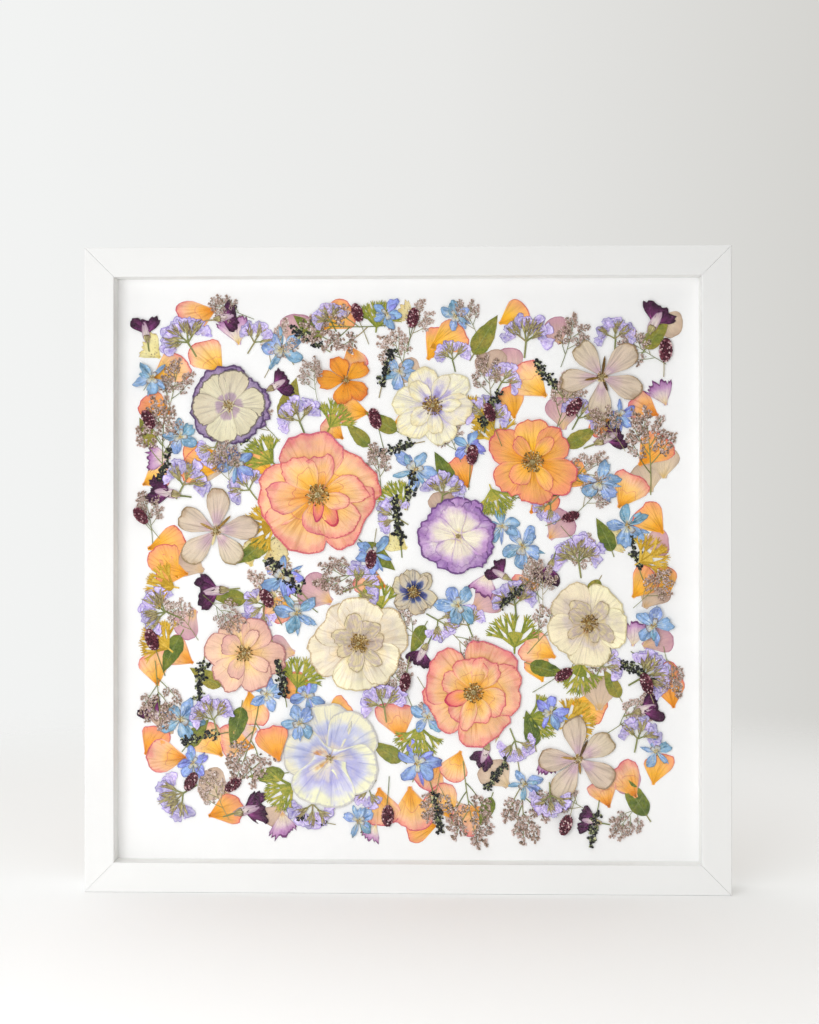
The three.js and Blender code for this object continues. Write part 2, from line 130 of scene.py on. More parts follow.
def addCamera():
    lens = bpy.data.cameras.new("camera")
    lens.lens = cameraView["lens"]
    lens.sensor_width = cameraView["sensor"]
    lens.clip_start = 0.01
    camera = bpy.data.objects.new("camera", lens)
    turn = math.radians(cameraView["turn"])
    target = Vector((cameraView["aside"], cadBox[0][1], cameraView["height"]))
    away = Vector((math.sin(turn), -math.cos(turn), 0)) * cameraView["distance"]
    camera.location = target + away
    camera.rotation_euler = (math.radians(90), 0, turn)
    bpy.context.collection.objects.link(camera)
    bpy.context.scene.camera = camera


def addSky():
    world = bpy.data.worlds.new("studio")
    world.use_nodes = True
    world.node_tree.nodes.clear()
    add = partial(addNode, world.node_tree)
    direction = add("ShaderNodeTexCoord").outputs["Generated"]
    split = add("ShaderNodeSeparateXYZ", links={0: direction})
    sideways = add("ShaderNodeMapRange", {1: -1, 2: 1, 3: 0, 4: 1}, {0: split})
    ramp = add("ShaderNodeValToRGB", {"stops": skyLight["stops"]}, {0: sideways})
    depth = add("ShaderNodeMapRange", {
        1: -0.3, 2: 0.5, 3: skyLight["front"], 4: skyLight["behind"],
    }, {0: split.outputs[1]})
    overhead = add("ShaderNodeMapRange", {
        1: 0.4, 2: 0.9, 3: 0, 4: skyLight["overhead"],
    }, {0: split.outputs[2]})
    strength = add("ShaderNodeMath", {"operation": "ADD"}, {0: depth, 1: overhead})
    background = add("ShaderNodeBackground", links={"Color": ramp, "Strength": strength})
    add("ShaderNodeOutputWorld", links={"Surface": background})
    bpy.context.scene.world = world


def addKeyLight():
    lamp = bpy.data.lights.new("key_light", "AREA")
    lamp.size = keyLight["size"]
    lamp.energy = keyLight["power"]
    lamp.color = keyLight["colour"]
    lampObject = bpy.data.objects.new("key_light", lamp)
    lampObject.location = keyLight["at"]
    aim = cardMiddle - Vector(keyLight["at"])
    lampObject.rotation_euler = aim.to_track_quat("-Z", "Y").to_euler()
    lampObject.visible_camera = False
    lampObject.visible_glossy = False
    lampObject.visible_transmission = False
    bpy.context.collection.objects.link(lampObject)


def addFloor():
    disc = bmesh.new()
    bmesh.ops.create_circle(disc, cap_ends=True, segments=96, radius=floorDisc["radius"])
    mesh = bpy.data.meshes.new("floor")
    disc.to_mesh(mesh)
    disc.free()
    floor = bpy.data.objects.new("floor", mesh)
    bpy.context.collection.objects.link(floor)
    material, add = startMaterial("matt_studio_floor")
    place = add("ShaderNodeTexCoord").outputs["Object"]
    away = add("ShaderNodeVectorMath", {"operation": "LENGTH"}, {0: place}).outputs["Value"]
    fade = add("ShaderNodeMapRange", {
        "interpolation_type": "SMOOTHSTEP", 1: floorDisc["fadeFrom"], 2: floorDisc["fadeTo"],
    }, {0: away})
    matt = add("ShaderNodeBsdfDiffuse", {"Color": toLinear(floorDisc["colour"])})
    clear = add("ShaderNodeBsdfTransparent")
    both = add("ShaderNodeMixShader", links={0: fade, 1: matt, 2: clear})
    add("ShaderNodeOutputMaterial", links={"Surface": both})
    mesh.materials.append(material)


addCamera()
addSky()
addKeyLight()
addFloor()
bpy.context.scene.view_settings.view_transform = "Standard"

print("stage: materials of the frame")


def paintedMaterial(name, look):
    # Sprayed satin paint over sanded wood: even and soft, with a faint orange peel and slow shifts in tone.
    material, add = startMaterial(name)
    place = add("ShaderNodeTexCoord").outputs["Object"]
    coat = add("ShaderNodeTexNoise", {"Scale": 1000 / look["shiftMm"], "Detail": 2.0}, {"Vector": place})
    colour = add("ShaderNodeValToRGB", {"stops": look["stops"]}, {0: coat})
    peel = add("ShaderNodeTexNoise", {"Scale": 1000 / look["peelMm"], "Detail": 3.0}, {"Vector": place})
    sheen = add("ShaderNodeMapRange", {1: 0.3, 2: 0.7, 3: look["gloss"][0], 4: look["gloss"][1]}, {0: peel})
    relief = add("ShaderNodeBump", {"Strength": look["relief"], "Distance": 0.0002}, {"Height": peel})
    shader = add("ShaderNodeBsdfPrincipled", {"IOR": 1.48}, {
        "Base Color": colour, "Roughness": sheen, "Normal": relief,
    })
    add("ShaderNodeOutputMaterial", links={"Surface": shader})
    return material


def paperMaterial(name, look):
    # Cotton card: matt and a little uneven, with short fibres pressed into it.
    material, add = startMaterial(name)
    place = add("ShaderNodeTexCoord").outputs["Object"]
    cloud = add("ShaderNodeTexNoise", {"Scale": 1000 / look["cloudMm"], "Detail": 4.0}, {"Vector": place})
    colour = add("ShaderNodeValToRGB", {"stops": look["stops"]}, {0: cloud})
    fibre = add("ShaderNodeTexNoise", {
        "Scale": 1000 / look["fibreMm"], "Detail": 5.0, "Roughness": 0.7, "Distortion": 1.5,
    }, {"Vector": place})
    rough = add("ShaderNodeMapRange", {1: 0.2, 2: 0.8, 3: 0.82, 4: 0.95}, {0: fibre})
    relief = add("ShaderNodeBump", {"Strength": 0.25, "Distance": 0.0002}, {"Height": fibre})
    shader = add("ShaderNodeBsdfPrincipled", {"Specular IOR Level": 0.25}, {
        "Base Color": colour, "Roughness": rough, "Normal": relief,
    })
    add("ShaderNodeOutputMaterial", links={"Surface": shader})
    return material


def metalMaterial(name, look):
    # Plated sheet steel: stamped, so it has fine drawn scratches and a slightly cloudy plating.
    material, add = startMaterial(name)
    place = add("ShaderNodeTexCoord").outputs["Object"]
    drawn = add("ShaderNodeMapping", {"Scale": (1, 1, 12)}, {"Vector": place})
    scratch = add("ShaderNodeTexNoise", {
        "Scale": 1000 / look["scratchMm"], "Detail": 4.0,
    }, {"Vector": drawn})
    cloud = add("ShaderNodeTexNoise", {"Scale": 1000 / look["cloudMm"], "Detail": 2.0}, {"Vector": place})
    colour = add("ShaderNodeValToRGB", {"stops": look["stops"]}, {0: cloud})
    rough = add("ShaderNodeMapRange", {1: 0.3, 2: 0.7, 3: 0.28, 4: 0.45}, {0: scratch})
    relief = add("ShaderNodeBump", {"Strength": 0.2, "Distance": 0.0001}, {"Height": scratch})
    shader = add("ShaderNodeBsdfPrincipled", {"Metallic": 1.0}, {
        "Base Color": colour, "Roughness": rough, "Normal": relief,
    })
    add("ShaderNodeOutputMaterial", links={"Surface": shader})
    return material


def glassMaterial(name):
    # Picture glass with an anti-reflective coat: clear and flat, and it gives back very little light.
    material, add = startMaterial(name)
    shader = add("ShaderNodeBsdfPrincipled", {
        "Base Color": toLinear("#fdfdfd"), "Roughness": 0.0, "IOR": 1.25, "Transmission Weight": 1.0,
    })
    add("ShaderNodeOutputMaterial", links={"Surface": shader})
    return material


frameFinishes = {
    "painted_moulding": paintedMaterial("wood_white_satin_paint", {
        "stops": [(0.3, "#f0f0ef"), (0.7, "#f2f2f1")], "shiftMm": 60, "peelMm": 1.6,
        "gloss": (0.38, 0.5), "relief": 0.12,
    }),
    "white_spacer": paintedMaterial("foamboard_matt_white", {
        "stops": [(0.3, "#f5f5f3"), (0.7, "#f8f8f6")], "shiftMm": 30, "peelMm": 0.8,
        "gloss": (0.6, 0.75), "relief": 0.15,
    }),
    "mount_card": paperMaterial("cotton_card_off_white", {
        "stops": [(0.3, "#fbfbfb"), (0.7, "#fefefe")], "cloudMm": 40, "fibreMm": 0.7,
    }),
    "fibre_board": paperMaterial("hardboard_pressed_brown", {
        "stops": [(0.25, "#946d46"), (0.5, "#9f7951"), (0.75, "#ab865d")], "cloudMm": 3.5, "fibreMm": 1.2,
    }),
    "zinc_steel": metalMaterial("steel_zinc_plated", {
        "stops": [(0.3, "#a9acb0"), (0.7, "#c6c8cb")], "scratchMm": 0.8, "cloudMm": 6,
    }),
    "plated_brass": metalMaterial("steel_brass_plated", {
        "stops": [(0.3, "#b08d42"), (0.7, "#c9a85c")], "scratchMm": 0.6, "cloudMm": 5,
    }),
    "clear_glass": glassMaterial("picture_glass_anti_reflective"),
}

for subpart in frame["record"]["subparts"]:
    if subpart["material_slot"] in frameFinishes:
        nodes[subpart["node"]].material_slots[0].material = frameFinishes[subpart["material_slot"]]

# Light passes the pane as it does in a room, so the card isn't left in the pane's own shade.
pane = nodes["glass_pane"]
pane.visible_shadow = False
pane.visible_diffuse = False

print("stage: materials of the specimens")

# What a petal looks like where its own look says nothing else
plainLook = {
    "patchMm": 9, "fineMm": 1.4, "drift": 0.1,
    "veins": 40, "vein": "#c08a60", "veinDepth": 0.35, "veinFrom": 0.52,
    "folds": 6, "foldShadeDepth": 0.2, "rim": "#b07060", "rimFrom": 0.97, "rimDepth": 0.7, "arcDepth": 0.0,
    "stainAndGlint": "#c9a070", "stainAndGlintDepth": 0.2, "shade": 0.08, "hue": 0.012, "relief": 0.6,
}


def petalMaterial(name, look):
    # Pressed petal: matt, thin and finely crinkled. Colour runs from the foot to the rim and follows the
    # veins, the rim dries darkest, and the edges of the petals beneath show through as faint arcs. The
    # creases are painted into the colour, as painted shade in the folds and painted highlight on their
    # ridges, and the dark rim line also serves as painted shade along the edge where a petal lies on the
    # next.
    look = {**plainLook, **look}
    material, add = startMaterial(name)
    place = add("ShaderNodeTexCoord").outputs["Object"]
    split = add("ShaderNodeSeparateXYZ", links={0: add("ShaderNodeUVMap", {"uv_map": "petal"})})
    across, out = split.outputs[0], split.outputs[1]
    tone = add("ShaderNodeAttribute", {"attribute_name": "tone"}).outputs["Fac"]

    patch = add("ShaderNodeTexNoise", {"Scale": 1000 / look["patchMm"], "Detail": 3.0}, {"Vector": place})
    drift = add("ShaderNodeMapRange", {1: 0.3, 2: 0.7, 3: -look["drift"], 4: look["drift"]}, {0: patch})
    reach = add("ShaderNodeMath", {"operation": "ADD"}, {0: out, 1: drift})
    body = add("ShaderNodeValToRGB", {"stops": look["stops"]}, {0: reach})

    spread = add("ShaderNodeCombineXYZ", links={0: across, 1: out, 2: tone})
    strung = add("ShaderNodeVectorMath", {
        "operation": "MULTIPLY", 1: (look["veins"], 1.3, 37),
    }, {0: spread})
    strands = add("ShaderNodeTexNoise", {"Scale": 1.0, "Detail": 2.0, "Roughness": 0.6}, {"Vector": strung})
    strong = add("ShaderNodeMapRange", {
        1: 0, 2: 1, 3: look["veinDepth"] * 1.5, 4: look["veinDepth"] * 0.5,
    }, {0: out})
    veins = add("ShaderNodeMapRange", {
        1: look["veinFrom"], 2: look["veinFrom"] + 0.16,
    }, {0: strands, 4: strong})
    veined = add("ShaderNodeMix", {
        "data_type": "RGBA", 7: toLinear(look["vein"]),
    }, {0: veins, 6: body})

    fine = add("ShaderNodeTexNoise", {"Scale": 1000 / look["fineMm"], "Detail": 3.0}, {"Vector": place})
    # Flecks of a second colour: real stains on most petals, painted highlights on the statice fans.
    stainAndGlint = add("ShaderNodeMapRange", {1: 0.56, 2: 0.72, 3: 0, 4: look["stainAndGlintDepth"]}, {0: fine})
    stainedAndGlinted = add("ShaderNodeMix", {
        "data_type": "RGBA", 7: toLinear(look["stainAndGlint"]),
    }, {0: stainAndGlint, 6: veined.outputs[2]})

    wander = add("ShaderNodeVectorMath", {"operation": "MULTIPLY", 1: (3.4, 0, 19)}, {0: spread})
    bend = add("ShaderNodeTexNoise", {"Scale": 1.0, "Detail": 1.0}, {"Vector": wander})
    arcReach = add("ShaderNodeMath", {"operation": "MULTIPLY_ADD", 1: 0.9}, {0: bend, 2: out})
    arcs = add("ShaderNodeValToRGB", {"stops": [
        (0.0, "#000000"), (0.972, "#000000"), (0.987, "#ffffff"), (1.0, "#000000"),
    ]}, {0: arcReach})
    arcShare = add("ShaderNodeMath", {"operation": "MULTIPLY", 1: look["arcDepth"]}, {0: arcs})
    lined = add("ShaderNodeMix", {
        "data_type": "RGBA", 7: toLinear(look["rim"]),
    }, {0: arcShare, 6: stainedAndGlinted.outputs[2]})

    # The dark line at the rim is the dried rim's own colour, and also painted shade along the edge where the
    # petal lies over the next.
    nibbled = add("ShaderNodeMath", {"operation": "MULTIPLY_ADD", 1: 0.09}, {0: fine, 2: out})
    rim = add("ShaderNodeMapRange", {
        1: look["rimFrom"] + 0.03, 2: look["rimFrom"] + 0.048, 3: 0, 4: look["rimDepth"],
    }, {0: nibbled})
    edged = add("ShaderNodeMix", {
        "data_type": "RGBA", 7: toLinear(look["rim"]),
    }, {0: rim, 6: lined.outputs[2]})

    creased = add("ShaderNodeVectorMath", {
        "operation": "MULTIPLY", 1: (look["folds"], 0.9, 53),
    }, {0: spread})
    folds = add("ShaderNodeTexNoise", {"Scale": 1.0, "Detail": 3.0, "Roughness": 0.7}, {"Vector": creased})
    # Painted shade and highlight of the creases: the colour darkens and lightens with the same fold noise
    # that raises the bump.
    foldShade = add("ShaderNodeMapRange", {
        1: 0.27, 2: 0.58, 3: 1 - look["foldShadeDepth"] * 0.8, 4: 1 + look["foldShadeDepth"] / 2,
    }, {0: folds})
    toneShade = add("ShaderNodeMapRange", {
        1: 0, 2: 1, 3: 1 - look["shade"], 4: 1 + look["shade"] / 2,
    }, {0: tone})
    value = add("ShaderNodeMath", {"operation": "MULTIPLY"}, {0: foldShade, 1: toneShade})
    hue = add("ShaderNodeMapRange", {1: 0, 2: 1, 3: 0.5 - look["hue"], 4: 0.5 + look["hue"]}, {0: tone})
    colour = add("ShaderNodeHueSaturation", links={"Color": edged.outputs[2], "Value": value, "Hue": hue})

    wrinkles = add("ShaderNodeMath", {"operation": "MULTIPLY_ADD", 1: 1.6}, {0: folds, 2: strands})
    height = add("ShaderNodeMath", {"operation": "MULTIPLY_ADD", 1: 0.6}, {0: fine, 2: wrinkles})
    relief = add("ShaderNodeBump", {"Strength": look["relief"], "Distance": 0.0004}, {"Height": height})
    rough = add("ShaderNodeMapRange", {1: 0.3, 2: 0.7, 3: 0.62, 4: 0.82}, {0: patch})
    shader = add("ShaderNodeBsdfPrincipled", {"Specular IOR Level": 0.3}, {
        "Base Color": colour, "Roughness": rough, "Normal": relief,
    })
    add("ShaderNodeOutputMaterial", links={"Surface": shader})
    return material


def leafMaterial(name, look):
    # Pressed leaf: matt green, a pale midrib and side veins that slant to the tip, yellowing in patches,
    # with painted shade and highlight on its fine wrinkles.
    material, add = startMaterial(name)
    place = add("ShaderNodeTexCoord").outputs["Object"]
    split = add("ShaderNodeSeparateXYZ", links={0: add("ShaderNodeUVMap", {"uv_map": "petal"})})
    across, out = split.outputs[0], split.outputs[1]
    tone = add("ShaderNodeAttribute", {"attribute_name": "tone"}).outputs["Fac"]
    patch = add("ShaderNodeTexNoise", {"Scale": 1000 / look["patchMm"], "Detail": 3.0}, {"Vector": place})
    mixed = add("ShaderNodeMath", {"operation": "MULTIPLY_ADD", 1: 0.45}, {0: tone, 2: patch})
    body = add("ShaderNodeValToRGB", {"stops": look["stops"]}, {0: mixed})
    aside = add("ShaderNodeMath", {"operation": "SUBTRACT", 1: 0.5}, {0: across})
    away = add("ShaderNodeMath", {"operation": "ABSOLUTE"}, {0: aside})
    slant = add("ShaderNodeMath", {"operation": "MULTIPLY_ADD", 1: -look["slant"]}, {0: away, 2: out})
    rows = add("ShaderNodeMath", {"operation": "MULTIPLY", 1: look["sideVeins"]}, {0: slant})
    sideVein = add("ShaderNodeMath", {"operation": "PINGPONG", 1: 0.5}, {0: rows})
    side = add("ShaderNodeMapRange", {1: 0.0, 2: 0.09, 3: 0.7, 4: 0.0}, {0: sideVein})
    midrib = add("ShaderNodeMapRange", {1: 0.02, 2: 0.05, 3: 1.0, 4: 0.0}, {0: away})
    veins = add("ShaderNodeMath", {"operation": "MAXIMUM"}, {0: side, 1: midrib})
    share = add("ShaderNodeMath", {"operation": "MULTIPLY", 1: look["veinDepth"]}, {0: veins})
    colour = add("ShaderNodeMix", {"data_type": "RGBA", 7: toLinear(look["vein"])}, {0: share, 6: body})
    fine = add("ShaderNodeTexNoise", {
        "Scale": 1000 / look["fineMm"], "Detail": 4.0, "Roughness": 0.7,
    }, {"Vector": place})
    # Painted shade and highlight of the fine wrinkles: the colour darkens and lightens with the same noise
    # that raises the bump.
    shade = add("ShaderNodeMapRange", {1: 0.35, 2: 0.65, 3: 0.66, 4: 1.22}, {0: fine})
    wrinkleShaded = add("ShaderNodeHueSaturation", links={"Color": colour.outputs[2], "Value": shade})
    height = add("ShaderNodeMath", {"operation": "MULTIPLY_ADD", 1: 1.5}, {0: fine, 2: veins})
    relief = add("ShaderNodeBump", {"Strength": 0.6, "Distance": 0.0004}, {"Height": height})
    rough = add("ShaderNodeMapRange", {1: 0.3, 2: 0.7, 3: 0.55, 4: 0.75}, {0: patch})
    shader = add("ShaderNodeBsdfPrincipled", {"Specular IOR Level": 0.35}, {
        "Base Color": wrinkleShaded, "Roughness": rough, "Normal": relief,
    })
    add("ShaderNodeOutputMaterial", links={"Surface": shader})
    return material


def floretMaterial(name, look):
    # Dried stems, stamens, seed cases and florets: each small piece has its own tone, finely mottled.
    material, add = startMaterial(name)
    place = add("ShaderNodeTexCoord").outputs["Object"]
    tone = add("ShaderNodeAttribute", {"attribute_name": "tone"}).outputs["Fac"]
    fine = add("ShaderNodeTexNoise", {"Scale": 1000 / look["mottleMm"], "Detail": 2.0}, {"Vector": place})
    shift = add("ShaderNodeMapRange", {1: 0.3, 2: 0.7, 3: -look["mottle"], 4: look["mottle"]}, {0: fine})
    mixed = add("ShaderNodeMath", {"operation": "ADD"}, {0: tone, 1: shift})
    colour = add("ShaderNodeValToRGB", {"stops": look["stops"]}, {0: mixed})
    relief = add("ShaderNodeBump", {"Strength": 0.4, "Distance": 0.0002}, {"Height": fine})
    rough = add("ShaderNodeMapRange", {1: 0.3, 2: 0.7, 3: 0.7, 4: 0.88}, {0: fine})
    shader = add("ShaderNodeBsdfPrincipled", {"Specular IOR Level": 0.25}, {
        "Base Color": colour, "Roughness": rough, "Normal": relief,
    })
    add("ShaderNodeOutputMaterial", links={"Surface": shader})
    return material


petalLooks = {
    "apricot": {
        "stops": [(0, "#a85a06"), (0.12, "#ea9114"), (0.36, "#fdb748"), (0.62, "#fec880"),
                  (0.84, "#fbc29c"), (1, "#f3988c")],
        "vein": "#c9762c", "veinDepth": 0.55, "rim": "#cf5468", "rimDepth": 0.85, "rimFrom": 0.978,
        "arcDepth": 0.7, "stainAndGlint": "#f8a470", "stainAndGlintDepth": 0.4,
    },
    "apricotFold": {
        "stops": [(0, "#e08a18"), (0.4, "#f7a63c"), (0.75, "#f5917a"), (1, "#e4606c")],
        "vein": "#c8604a", "veinDepth": 0.4, "rim": "#c03860", "rimFrom": 0.93, "rimDepth": 0.9,
    },
    "orange": {
        "stops": [(0, "#9c5c08"), (0.12, "#f09a14"), (0.36, "#feb634"), (0.66, "#febc62"),
                  (0.94, "#fba676")],
        "vein": "#c06c14", "veinDepth": 0.6, "rim": "#d24c5c", "rimDepth": 0.85, "rimFrom": 0.976,
        "arcDepth": 0.2, "stainAndGlint": "#f58a3c",
    },
    "blush": {
        "stops": [(0, "#b0762a"), (0.2, "#f2c272"), (0.45, "#fbd49c"), (0.72, "#f7cab0"),
                  (1, "#e8b6a8")],
        "vein": "#b9835a", "veinDepth": 0.4, "rim": "#a8646a", "rimDepth": 0.8, "arcDepth": 0.4,
        "stainAndGlint": "#e0a888",
    },
    "cream": {
        "stops": [(0, "#9c7436"), (0.14, "#e2c894"), (0.4, "#f6e4bc"), (0.7, "#ece0cc"),
                  (0.95, "#fbf0d0")],
        "vein": "#b89c74", "veinDepth": 0.5, "rim": "#b89c6c", "rimDepth": 0.75, "rimFrom": 0.975,
        "arcDepth": 0.4, "stainAndGlint": "#dccaa0", "patchMm": 9, "drift": 0.22, "foldShadeDepth": 0.28,
    },
    "creamInner": {
        "stops": [(0, "#7c5430"), (0.2, "#c2a670"), (0.42, "#c0b0a6"), (0.6, "#d9c89e"),
                  (0.8, "#c4b2ac"), (1, "#e2d3a8")],
        "vein": "#806a60", "veinDepth": 0.5, "rim": "#97805f", "rimDepth": 0.7, "patchMm": 6,
        "drift": 0.25, "foldShadeDepth": 0.3,
    },
    "ivory": {
        "stops": [(0, "#6f559c"), (0.16, "#a190cc"), (0.36, "#cdc3e2"), (0.6, "#f2ead8"),
                  (0.85, "#faf3d2"), (1, "#f6eabc")],
        "vein": "#8b80c0", "veinDepth": 0.5, "rim": "#c9bb94", "rimDepth": 0.6, "drift": 0.28,
        "patchMm": 8,
    },
    "tea": {
        "stops": [(0, "#a87438"), (0.22, "#e2ca98"), (0.45, "#dfd0c6"), (0.7, "#f6e8c8"),
                  (1, "#fbf0cc")],
        "vein": "#a09080", "veinDepth": 0.4, "rim": "#bfab7c", "rimDepth": 0.7, "drift": 0.25,
        "arcDepth": 0.2,
    },
    "violetDisc": {
        "stops": [(0, "#f5e0a0"), (0.35, "#faf0da"), (0.58, "#eedde8"), (0.78, "#cda8d6"),
                  (0.96, "#aa7cbc")],
        "vein": "#86589c", "veinDepth": 0.55, "rim": "#69407c", "rimFrom": 0.96, "rimDepth": 0.9,
        "stainAndGlint": "#7c4c94", "stainAndGlintDepth": 0.5, "drift": 0.16,
    },
    "violetHeart": {
        "stops": [(0, "#efd98a"), (0.3, "#fbf3da"), (0.62, "#f5ead8"), (0.85, "#ddc2dc"),
                  (1, "#c29ace")],
        "vein": "#c0a2ba", "veinDepth": 0.4, "rim": "#a478b4", "rimDepth": 0.6, "drift": 0.16,
    },
    "discFan": {
        "stops": [(0, "#f2e8c8"), (0.13, "#ece2c2"), (0.17, "#b9a0ac"), (0.34, "#bfa6b4"),
                  (0.41, "#e6dec2"), (0.95, "#ddd3b4")],
        "vein": "#8a7a7a", "veinDepth": 0.4, "rim": "#4a3847", "rimFrom": 0.965, "rimDepth": 0.8,
        "drift": 0.05,
    },
    "discFringe": {
        "stops": [(0, "#f1e6c8"), (0.55, "#e8dcd2"), (0.76, "#b8a2c2"), (1, "#9078a2")],
        "vein": "#5c4470", "veinDepth": 0.6, "rim": "#533a64", "rimFrom": 0.96, "rimDepth": 0.9,
        "stainAndGlint": "#6a4c7a", "stainAndGlintDepth": 0.6,
    },
    "inkBlue": {
        "stops": [(0, "#0e163c"), (0.3, "#1e2c64"), (0.5, "#5c669c"), (0.64, "#cfc6b4"),
                  (1, "#d8c8a4")],
        "vein": "#222c66", "veinDepth": 0.85, "veins": 16, "rim": "#7c6850", "rimDepth": 0.8,
        "drift": 0.14,
    },
    "goldenPetal": {
        "stops": [(0, "#b8690c"), (0.3, "#f3a01a"), (0.7, "#f9ae34"), (1, "#ea8c34")],
        "vein": "#b4641c", "veinDepth": 0.5, "rim": "#bf6424", "rimDepth": 0.7, "stainAndGlint": "#b4641c",
        "stainAndGlintDepth": 0.5, "foldShadeDepth": 0.2,
    },
    "mauve": {
        "stops": [(0, "#f4e6c6"), (0.1, "#e8d3ca"), (0.26, "#cdacbc"), (0.4, "#d8c0ba"),
                  (0.6, "#dfccb8"), (0.9, "#dac8b0"), (1, "#c4ac90")],
        "vein": "#8c7466", "veinDepth": 0.5, "veins": 26, "rim": "#8a744e", "rimDepth": 0.8,
        "foldShadeDepth": 0.2,
    },
    "pansy": {
        "stops": [(0, "#a85f22"), (0.1, "#d39a56"), (0.2, "#e9dcc4"), (0.45, "#b3b3de"),
                  (0.68, "#d3d4e8"), (0.9, "#f3f0cf")],
        "vein": "#767ec2", "veinDepth": 0.55, "rim": "#b5b1bd", "rimDepth": 0.6, "drift": 0.22,
        "patchMm": 16, "stainAndGlint": "#efe3a4",
    },
    "larkspur": {
        "stops": [(0, "#dcd2a6"), (0.14, "#ccd2c6"), (0.34, "#b2c8e2"), (0.66, "#93b6e0"),
                  (1, "#83a4ca")],
        "drift": 0.28, "vein": "#3f6e98", "veinDepth": 0.85, "veins": 8, "veinFrom": 0.5,
        "rim": "#5c7c90", "rimDepth": 0.8, "patchMm": 4, "stainAndGlint": "#d8e2d4", "stainAndGlintDepth": 0.7,
        "shade": 0.2, "hue": 0.03, "folds": 5, "foldShadeDepth": 0.55, "relief": 1.0,
    },
    "larkspurDeep": {
        "stops": [(0, "#dcd0b0"), (0.15, "#bccbe0"), (0.42, "#9fbcec"), (0.76, "#93a8e8"),
                  (1, "#8094d4")],
        "drift": 0.24, "vein": "#464e9c", "veinDepth": 0.8, "veins": 8, "veinFrom": 0.5,
        "rim": "#545e90", "rimDepth": 0.8, "patchMm": 4, "stainAndGlint": "#bcd8e6", "stainAndGlintDepth": 0.7,
        "shade": 0.2, "hue": 0.035, "folds": 5, "foldShadeDepth": 0.5, "relief": 1.0,
    },
    "larkspurHeart": {
        "stops": [(0, "#8c8a4c"), (0.4, "#d9d2ac"), (0.75, "#c3cad2"), (1, "#8a7a64")],
        "vein": "#8d86a8", "veinDepth": 0.4, "veins": 10, "rim": "#6e5a4a",
    },
    # On the statice fans the white flecks are painted highlights of the crumpled paper, and the deep radial
    # lines are painted shade in its creases.
    "staticeFan": {
        "stops": [(0, "#9a8698"), (0.3, "#d6c8ee"), (0.6, "#c8b8ee"), (0.85, "#ddd3f5"),
                  (1, "#c0b0e6")],
        "vein": "#7a64c6", "veinDepth": 0.75, "veins": 7, "rim": "#6e58ba", "rimDepth": 0.8,
        "rimFrom": 0.96, "stainAndGlint": "#f6f2fd", "stainAndGlintDepth": 0.8, "shade": 0.24, "folds": 4,
        "foldShadeDepth": 0.36, "hue": 0.014,
    },
    "bract": {
        "stops": [(0, "#6e7a3e"), (0.35, "#a0965a"), (0.75, "#cfc290"), (1, "#7c6440")],
        "vein": "#6a5636", "veinDepth": 0.7, "veins": 8, "rim": "#5f4e30", "rimFrom": 0.9, "shade": 0.3,
    },
    "plum": {
        "stops": [(0, "#d8a8c0"), (0.24, "#a04a90"), (0.5, "#6a2a5e"), (0.88, "#3c1634")],
        "vein": "#200a1e", "veinDepth": 0.6, "veins": 10, "rim": "#1d0a1a", "stainAndGlint": "#8a4c80",
        "stainAndGlintDepth": 0.5, "folds": 5, "foldShadeDepth": 0.5, "relief": 1.0,
    },
    "plumTube": {
        "stops": [(0, "#98a060"), (0.14, "#c9acb4"), (0.5, "#e6d8d2"), (1, "#b894b0")],
        "vein": "#86607c", "veinDepth": 0.7, "veins": 16, "rim": "#8c6a80",
    },
    "fringedPink": {
        "stops": [(0, "#eebb52"), (0.2, "#f5e4c0"), (0.5, "#f0dcd8"), (0.75, "#d3a6cc"),
                  (1, "#a86aa6")],
        "vein": "#9a568f", "veinDepth": 0.4, "rim": "#6c3468", "rimFrom": 0.93, "rimDepth": 0.9,
        "stainAndGlint": "#8c4c88", "stainAndGlintDepth": 0.35,
    },
    "beigeRound": {
        "stops": [(0, "#dab06a"), (0.3, "#e2c8aa"), (0.7, "#d8bea8"), (1, "#c8aa96")],
        "vein": "#a08470", "veinDepth": 0.3, "rim": "#a68a76", "rimDepth": 0.5,
    },
    "pinkRound": {
        "stops": [(0, "#efa53a"), (0.13, "#eec48c"), (0.4, "#e3bdb6"), (0.9, "#d3a3ae")],
        "vein": "#b88796", "veinDepth": 0.4, "rim": "#a9688a", "rimDepth": 0.6,
    },
    "freckledCream": {
        "stops": [(0, "#e2c86a"), (0.3, "#f0e09a"), (0.8, "#f2e6ac"), (1, "#e8d68c")],
        "vein": "#d3bd70", "veinDepth": 0.4, "rim": "#8a5a5c", "rimFrom": 0.975, "rimDepth": 0.6,
        "stainAndGlint": "#6a3a4c", "stainAndGlintDepth": 0.75,
    },
}

